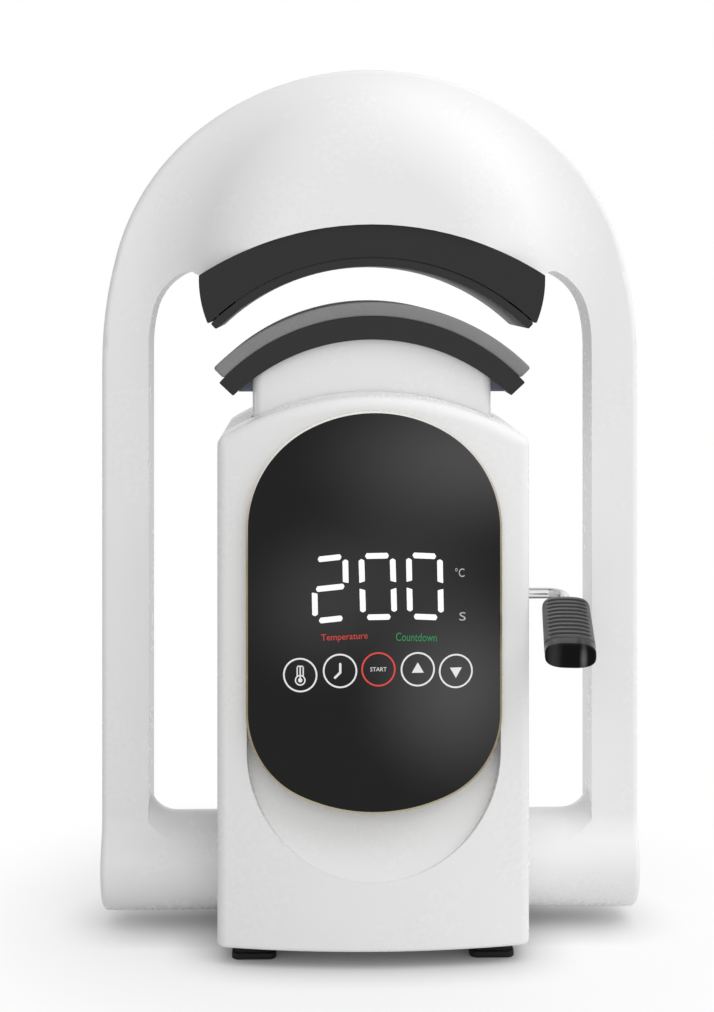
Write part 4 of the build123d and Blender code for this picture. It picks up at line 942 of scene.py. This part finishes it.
    def end_cap(self) -> None:
        """Builds the glossy cap with its rounded front."""
        last = self.length - self.cap
        sections = [Section(last + away, size) for away, size in self.cap_end]
        nose = reversed(self.rounded(*self.nose))
        sections += [Section(self.length - away, size) for away, size in nose]
        mesh = self.lofted(sections)
        cap = self.workshop.piece("grip_cap", mesh, Slot.CAP_BLACK, Body.LEVER)
        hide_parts("grip_end_cap")

    def pieces(self) -> None:
        """Builds the grip's two pieces."""
        self.sleeve()
        self.end_cap()


@dataclass(frozen=True)
class Electrics(Assembly):
    """The inlet, the switch and the boards."""

    dressed = {
        Slot.SWITCH_BLACK: ("inlet_socket", "switch_bezel", "power_rocker"),
        Slot.BRIGHT_PIN: ("inlet_pins", "rocker_pin"),
        Slot.CIRCUIT_BOARD: ("display_board", "power_board"),
    }


@dataclass
class MarkSheet:
    """Marks drawn in front view, in millimetres, then wrapped on the bulged glass.

    Attributes:
        bulge_radius: Radius of the glass's front about its vertical axis.
        bulge_axis: The axis's distance behind the origin.
        lift: How far the marks stand in front of the glass.
        thick: Their thickness.
        tip_round: Size of the rounding on a segment's corners.
        strip: Width of the strips that a long mark is cut into.
        strips: Number of cuts on each side of the middle.
        sides: Number of sides of a dot, of a bar's round ends together, and of a ring.
        letter_steps: How finely a letter's curves are cut.
        close: Points closer than this are one, when a mark is cut and when it is cleaned.
        mesh: The marks so far.
    """

    bulge_radius: float = 360.2
    bulge_axis: float = 279.0
    lift: float = 0.12
    thick: float = 0.1
    tip_round: float = 0.35
    strip: float = 4.0
    strips: int = 14
    sides: tuple[int, int, int] = (40, 24, 72)
    letter_steps: int = 3
    close: Pair = (0.00001, 0.0001)
    mesh: bmesh.types.BMesh = field(default_factory=bmesh.new)

    def polygon(self, sides: int, matrix: Matrix) -> list[bmesh.types.BMVert]:
        """Adds a filled regular polygon of radius 1 in the X-Z plane, moved by a matrix."""
        place = matrix @ Matrix.Rotation(math.radians(90), 4, "X")
        return bmesh.ops.create_circle(self.mesh, cap_ends=True, segments=sides, radius=1.0,
                                       matrix=place)["verts"]

    def placed(self, x: float, z: float, tilt: float = 0.0, wide: float = 1.0,
               tall: float = 1.0) -> Matrix:
        """The matrix of a mark: its middle, its clockwise turn in degrees and its two scales."""
        turn = Matrix.Rotation(math.radians(tilt), 4, "Y")
        return Matrix.Translation((x, 0, z)) @ turn @ Matrix.Diagonal((wide, 1, tall, 1))

    def disc(self, x: float, z: float, radius: float) -> None:
        """Adds a round dot."""
        self.polygon(self.sides[0], self.placed(x, z, 0, radius, radius))

    def triangle(self, x: float, z: float, radius: float, tilt: float) -> None:
        """Adds a triangle, with one corner up before it is tilted."""
        self.polygon(3, self.placed(x, z, tilt, radius, radius))

    def bar(self, x: float, z: float, length: float, width: float, tilt: float = 0.0) -> None:
        """Adds a bar with round ends, such as a clock's hand.

        Args:
            x: Its middle across.
            z: Its middle's height.
            length: Its length.
            width: Its width.
            tilt: 0 for a level bar, 90 for an upright one.
        """
        made = self.polygon(self.sides[1], Matrix.Diagonal((width / 2, 1, width / 2, 1)))
        for vert in made:
            vert.co.x += math.copysign((length - width) / 2, vert.co.x)
        bmesh.ops.transform(self.mesh, matrix=self.placed(x, z, tilt), verts=made)

    def segment(self, place: Matrix, length: float, width: float, cut: Pair = (0, 0)) -> None:
        """Adds a digit's segment: a bar with pointed ends, of which one may be cut aslant.

        Args:
            place: Where the bar's middle goes.
            length: Its length.
            width: Its width.
            cut: The end that is cut, -1 or 1 along the bar, and the side on which it stays long.
        """
        point = width / math.sqrt(3)
        lying = Matrix.Diagonal((point, 1, point, 1)) @ Matrix.Rotation(math.radians(30), 4, "Y")
        made = self.polygon(6, lying)
        for vert in made:
            end = math.copysign(1, vert.co.x)
            if abs(vert.co.z) < width / 4 and end == cut[0]:
                vert.co.z = cut[1] * width / 2
            vert.co.x += end * (length / 2 - point)
        soft = bmesh.ops.bevel(self.mesh, geom=made, offset=self.tip_round, offset_type="OFFSET",
                               segments=2, profile=0.5, affect="VERTICES", material=-1,
                               clamp_overlap=True)
        bmesh.ops.transform(self.mesh, matrix=place, verts=soft["verts"])

    def ring(self, x: float, z: float, radius: float, width: float) -> None:
        """Adds a ring.

        Args:
            x: Its middle across.
            z: Its middle's height.
            radius: Its outer radius.
            width: Its stroke.
        """
        made = self.polygon(self.sides[2], self.placed(x, z, 0, radius, radius))
        face = next(face for face in self.mesh.faces if face.verts[0] in made)
        bmesh.ops.inset_individual(self.mesh, faces=[face], thickness=width, use_even_offset=True)
        bmesh.ops.delete(self.mesh, geom=[face], context="FACES")

    def word(self, text: str, x: float, z: float, wide: float, tall: float,
             tilt: float = 0.0) -> None:
        """Adds a word that fills a given place.

        Args:
            text: The word.
            x: The middle of its place.
            z: The middle's height.
            wide: The place's width.
            tall: The place's height.
            tilt: Its turn, in degrees.
        """
        curve = bpy.data.curves.new("word", "FONT")
        curve.body = text
        curve.resolution_u = self.letter_steps
        holder = bpy.data.objects.new("word", curve)
        bpy.context.scene.collection.objects.link(holder)
        bpy.context.view_layer.update()
        depsgraph = bpy.context.evaluated_depsgraph_get()
        letters = bpy.data.meshes.new_from_object(holder.evaluated_get(depsgraph))
        bpy.data.objects.remove(holder)
        bpy.data.curves.remove(curve)
        before = set(self.mesh.verts)
        self.mesh.from_mesh(letters)
        bpy.data.meshes.remove(letters)
        added = [vert for vert in self.mesh.verts if vert not in before]
        low, high = (Vector([pick(vert.co[axis] for vert in added) for axis in (0, 1)] + [0])
                     for pick in (min, max))
        full = high - low
        fit = Matrix.Diagonal((wide / full.x, tall / full.y, 1, 1))
        upright = Matrix.Rotation(math.radians(90), 4, "X")
        moved = self.placed(x, z, tilt) @ upright @ fit @ Matrix.Translation(-(low + high) / 2)
        bmesh.ops.transform(self.mesh, matrix=moved, verts=added)

    def wrapped(self) -> bmesh.types.BMesh:
        """Cuts long marks into strips, gives them their thickness and wraps them on the glass.

        Returns:
            The finished mesh, in metres.
        """
        mesh = self.mesh
        for step in range(-self.strips, self.strips + 1):
            bmesh.ops.bisect_plane(mesh, geom=[*mesh.verts, *mesh.edges, *mesh.faces],
                                   plane_co=(step * self.strip, 0, 0), plane_no=(1, 0, 0),
                                   dist=self.close[0])
        bmesh.ops.remove_doubles(mesh, verts=mesh.verts, dist=self.close[1])
        for face in mesh.faces:
            if face.normal.y > 0:
                face.normal_flip()
        grown = bmesh.ops.extrude_face_region(mesh, geom=list(mesh.faces), use_keep_orig=True)
        front = [item for item in grown["geom"] if isinstance(item, bmesh.types.BMVert)]
        bmesh.ops.translate(mesh, verts=front, vec=(0, -self.thick, 0))
        bmesh.ops.recalc_face_normals(mesh, faces=mesh.faces)
        for vert in mesh.verts:
            surface = self.bulge_axis - math.sqrt(self.bulge_radius**2 - vert.co.x**2)
            vert.co.y += surface - self.lift + self.thick
        bmesh.ops.scale(mesh, verts=mesh.verts, vec=(MM, MM, MM))
        return mesh


class Lit(Enum):
    """The looks of the marks that glow behind the glass."""

    FIGURES = Glowing(grey(0.95), grey(0.9), glow=0.22)
    UNITS = Glowing(grey(0.46), grey(0.4), glow=0.15)
    SIGNS = Glowing(grey(0.62), grey(0.58), glow=0.42)
    LABEL = Glowing(grey(0.62), grey(0.58), glow=0.35)
    HEAT = Glowing((0.62, 0.045, 0.035), (0.62, 0.045, 0.035), glow=0.08)
    TIME = Glowing((0.012, 0.24, 0.07), (0.012, 0.24, 0.07), glow=0.08)
    START = Glowing((0.62, 0.045, 0.035), (0.62, 0.045, 0.035), glow=0.18)


Label = tuple[str, Lit, tuple[tuple[str | float, ...], ...]]


@dataclass(frozen=True)
class TouchPanel(Assembly):
    """The black glass panel with its digits, words and keys. Its sizes are in millimetres.

    Attributes:
        across: From a digit's middle to its upright segments.
        level: From a digit's middle up to its top, middle and bottom segments.
        half_up: From a digit's middle up to its upright segments, the high and the low ones.
        segment_length: Length of a segment.
        middle_share: Length of a middle segment, as a share of that.
        stroke: Width of a segment.
        figures: Each figure with its middle, the slope of its level segments and its lean.
        labels: Each piece with its look and its words: a text, its middle, size and tilt.
        start_label: The piece of the start key's word, likewise.
        key_places: Middle of each of the five keys.
        key_ring: Outer radius and width of a key's ring.
        arrow: Radius of the arrow signs.
        bulb: The thermometer's bulb: its height, its ring's radius and width, its dot's radius.
        stem: The bars above it, each with its middle, length, width and tilt.
        hands: The clock's hands, likewise.
    """

    dressed = {
        Slot.PANEL_GLASS: ("control_glass",),
        Slot.GOLD_RIM: ("glass_rim",),
        Slot.LED_MODULE: ("led_display",),
    }
    across: float = 7.8
    level: Triple = (15.3, 0.5, -15.3)
    half_up: Pair = (7.9, -6.9)
    segment_length: float = 12.0
    middle_share: float = 1.2
    stroke: float = 2.85
    figures: tuple[tuple[str, float, float, float, float], ...] = (
        ("2", -22.2, 192.7, 0.115, -0.02), ("0", 1.6, 193.9, 0.015, -0.03),
        ("0", 25.2, 193.7, -0.055, -0.02))
    labels: tuple[Label, ...] = (
        ("unit_marks", Lit.UNITS, (("°C", 42.8, 200.3, 4.7, 4.5), ("S", 44.2, 178.3, 3.3, 4.2))),
        ("temperature_word", Lit.HEAT, (("Temperature", -15.1, 168.4, 23.2, 4.2, -3.0),)),
        ("countdown_word", Lit.TIME, (("Countdown", 20.9, 168.4, 20.5, 4.2, 2.0),)))
    start_label: Label = ("start_word", Lit.LABEL, (("START", 1.9, 152.5, 8.2, 2.1),))
    key_places: tuple[Pair, ...] = (
        (-37.2, 149.4), (-17.3, 151.7), (1.9, 152.5), (21.6, 152.3), (40.8, 151.0))
    key_ring: Pair = (8.6, 0.85)
    arrow: float = 3.5
    bulb: tuple[float, float, float, float] = (-2.6, 2.7, 0.65, 1.1)
    stem: tuple[tuple[float, ...], ...] = (
        (0.0, 1.2, 6.4, 0.7, 90), (-1.5, 1.6, 5.0, 0.65, 90), (1.5, 1.6, 5.0, 0.65, 90),
        (0.0, 4.4, 3.0, 0.65, 0))
    hands: tuple[tuple[float, ...], ...] = ((0.1, 1.3, 5.4, 1.2, 90), (-1.3, -2.2, 4.6, 1.2, -45))

    def show(self, name: str, sheet: MarkSheet, look: Lit) -> None:
        """Builds a sheet's marks as one piece that glows."""
        self.workshop.piece(name, sheet.wrapped(), Slot.LED_MODULE, Body.BASE, look.value)

    def digit(self, sheet: MarkSheet, figure: str, place: Matrix) -> None:
        """Draws one seven-segment figure.

        Args:
            sheet: Where it is drawn.
            figure: The figure.
            place: Where its middle goes, with its slope and lean.
        """
        side, (top, middle, bottom), (high, low) = self.across, self.level, self.half_up
        segments = {"a": (0, top), "b": (side, high), "c": (side, low), "d": (0, bottom),
                    "e": (-side, low), "f": (-side, high), "g": (0, middle)}
        for name in {"0": "abcdef", "2": "abdeg"}[figure]:
            right, up = segments[name]
            cut = (math.copysign(1, up), math.copysign(1, right)) if right else (0, 0)
            length = self.segment_length * (self.middle_share if name == "g" else 1.0)
            moved = place @ sheet.placed(right, up, 90 if right else 0)
            sheet.segment(moved, length, self.stroke, cut)

    def digits(self) -> None:
        """Builds the three lit figures."""
        sheet = MarkSheet()
        for figure, x, z, slope, lean in self.figures:
            shear = Matrix(((1, 0, lean, x), (0, 1, 0, 0), (slope, 0, 1, z), (0, 0, 0, 1)))
            self.digit(sheet, figure, shear)
        self.show("display_digits", sheet, Lit.FIGURES)

    def label(self, name: str, look: Lit, words: tuple[tuple[str | float, ...], ...]) -> None:
        """Builds words as one piece.

        Args:
            name: The piece's name.
            look: How they glow.
            words: Each word with its middle, size and tilt.
        """
        sheet = MarkSheet()
        for word in words:
            sheet.word(*word)
        self.show(name, sheet, look)

    def keys(self) -> None:
        """Builds the keys' rings and signs."""
        heat, clock, start, rise, fall = self.key_places
        sheet = MarkSheet()
        for place in (heat, clock, rise, fall):
            sheet.ring(*place, *self.key_ring)
        drop, *ring, dot = self.bulb
        sheet.ring(heat[0], heat[1] + drop, *ring)
        sheet.disc(heat[0], heat[1] + drop, dot)
        for (x, z), bars in ((heat, self.stem), (clock, self.hands)):
            for right, up, *bar in bars:
                sheet.bar(x + right, z + up, *bar)
        sheet.triangle(*rise, self.arrow, 0)
        sheet.triangle(*fall, self.arrow, 180)
        self.show("key_marks", sheet, Lit.SIGNS)
        sheet = MarkSheet()
        sheet.ring(*start, *self.key_ring)
        self.show("start_ring", sheet, Lit.START)

    def pieces(self) -> None:
        """Builds the marks."""
        self.digits()
        for label in self.labels:
            self.label(*label)
        self.keys()
        self.label(*self.start_label)


# Studio


@dataclass(frozen=True)
class Lamp:
    """A soft rectangular lamp that looks at the middle of the press and stays out of reflections.

    Attributes:
        name: The lamp's name.
        place: Where it hangs.
        power: Its power, in watts.
        size: Its width and height.
        target: Where it looks.
    """

    name: str
    place: Triple
    power: float
    size: Pair = (2.0, 2.0)
    target: Triple = (0.0, 0.0, 0.23)

    def build(self) -> None:
        """Hangs the lamp."""
        light = bpy.data.lights.new(self.name, "AREA")
        light.shape = "RECTANGLE"
        light.size, light.size_y = self.size
        light.energy = self.power
        lamp = bpy.data.objects.new(self.name, light)
        lamp.location = self.place
        looks = Vector(self.target) - Vector(self.place)
        lamp.rotation_euler = looks.to_track_quat("-Z", "Y").to_euler()
        lamp.visible_glossy = False
        bpy.context.scene.collection.objects.link(lamp)


@dataclass(frozen=True)
class Studio:
    """Camera, floor, background and lamps.

    Attributes:
        eye: Where the camera stands.
        yaw: How far it looks to the right.
        lens: Its focal length and the width of its sensor, in millimetres.
        shift: How far its picture is moved.
        clip: The nearest and the farthest distance that it sees.
        ambient: Strength of the world's light from the left and from the right.
        floor_half: Half the floor's side.
        floor_fade: How far from the middle the floor starts to fade, and where it is white.
        floor_tone: The floor's tone where it is seen.
        floor_lift: How much that is lifted.
        bounce: Tone, roughness and specular level of the floor, for the light it returns.
        painted_shade_reach: Reach of the painted shade around the feet, drawn from ambient
            occlusion.
        painted_shade_samples: Samples of that painted shade.
        lamps: The lamps.
    """

    eye: Triple = (-0.030, -1.0, 0.347)
    yaw: float = math.radians(1.32)
    lens: Pair = (65.45, 36.0)
    shift: float = -0.2233
    clip: Pair = (0.05, 30.0)
    ambient: Pair = (0.24, 0.84)
    floor_half: float = 6.0
    floor_fade: Pair = (0.09, 0.27)
    floor_tone: float = 0.45
    floor_lift: float = 0.52
    bounce: Triple = (0.8, 0.6, 0.2)
    painted_shade_reach: float = 0.03
    painted_shade_samples: int = 12
    lamps: tuple[Lamp, ...] = (Lamp("key_lamp", (1.0, -0.6, 2.0), 22.5),
                               Lamp("front_lamp", (0.0, -2.2, 0.6), 11.8))

    def camera(self) -> None:
        """Sets up the level camera."""
        data = bpy.data.cameras.new("camera")
        data.lens, data.sensor_width = self.lens
        data.shift_y = self.shift
        data.clip_start, data.clip_end = self.clip
        camera = bpy.data.objects.new("camera", data)
        camera.location = self.eye
        camera.rotation_euler = (math.radians(90), 0, -self.yaw)
        bpy.context.scene.collection.objects.link(camera)
        bpy.context.scene.camera = camera

    def seen(self, sheet: Sheet) -> Socket:
        """A mask that is 1 where the camera looks, or a reflection, or glass."""
        camera, glossy, passed = (sheet.add("LightPath").outputs[f"Is {name} Ray"]
                                  for name in ("Camera", "Glossy", "Transmission"))
        return sheet.calc("MAXIMUM", sheet.calc("MAXIMUM", camera, glossy), passed)

    def background(self) -> None:
        """Builds the world: white where it is seen, softer as light, and dimmer from the left."""
        world = bpy.data.worlds.new("studio")
        bpy.context.scene.world = world
        world.use_nodes = True
        sheet, nodes = Sheet(world.node_tree), world.node_tree.nodes
        across = sheet.axis(sheet.add("TexCoord").outputs["Generated"], "X")
        light = sheet.feed(nodes["Background"], {
            "Color": grey(1.0), "Strength": sheet.ramp(across, -1.0, 1.0, *self.ambient)})
        mixed = sheet.mix(self.seen(sheet), light, sheet.add("Background", {"Color": grey(1.0)}))
        sheet.feed(nodes["World Output"], {"Surface": mixed.outputs[0]})

    def floor_look(self) -> bpy.types.Material:
        """Builds the floor's material.

        Returns:
            The material.
        """
        made = bpy.data.materials.new("floor")
        made.use_nodes = True
        sheet, nodes = Sheet(made.node_tree), made.node_tree.nodes
        tone, matt, specular = self.bounce
        shader = sheet.feed(nodes["Principled BSDF"], {
            "Base Color": grey(tone), "Roughness": matt, "Specular IOR Level": specular})
        shown = sheet.add("BsdfDiffuse", {"Color": grey(self.floor_tone)})
        # painted shade: ambient occlusion darkens the floor's emitted lift close under and around
        # the press
        painted_shade_mask = sheet.add("AmbientOcclusion", {"Distance": self.painted_shade_reach},
                         samples=self.painted_shade_samples)
        strength = sheet.calc("MULTIPLY", painted_shade_mask.outputs["AO"], self.floor_lift)
        lift = sheet.add("Emission", {"Strength": strength})
        both = sheet.add("AddShader", {0: shown.outputs[0], 1: lift.outputs[0]})
        fade = sheet.ramp(sheet.length(sheet.place()), *self.floor_fade)
        faded = sheet.mix(fade, both, sheet.add("Emission"))
        mixed = sheet.mix(self.seen(sheet), shader, faded)
        sheet.feed(nodes["Material Output"], {"Surface": mixed.outputs[0]})
        return made

    def floor(self) -> None:
        """Builds the pale floor, which keeps the press's shadow, adds a painted shade around its
        feet and turns plain white around it.
        """
        mesh = bmesh.new()
        bmesh.ops.create_grid(mesh, x_segments=1, y_segments=1, size=self.floor_half)
        floor = shown_mesh("floor", mesh)
        floor.data.materials.append(self.floor_look())

    def build(self) -> None:
        """Sets up the whole studio."""
        bpy.context.scene.view_settings.view_transform = "Standard"
        self.camera()
        self.background()
        self.floor()
        for lamp in self.lamps:
            lamp.build()
        LOG.info("studio ready with %d lamps", len(self.lamps))


def main() -> None:
    """Builds the studio and every sub-assembly in order."""
    logging.basicConfig(level=logging.INFO, format="%(name)s: %(message)s")
    shelf = TextureShelf()
    shelf.build()
    workshop = Workshop(shelf)
    Studio().build()
    for assembly in (Cabinet, Arch, UpperPlaten, LowerPlaten, Lever, Electrics, TouchPanel):
        assembly(workshop).build()


if __name__ == "__main__":
    main()
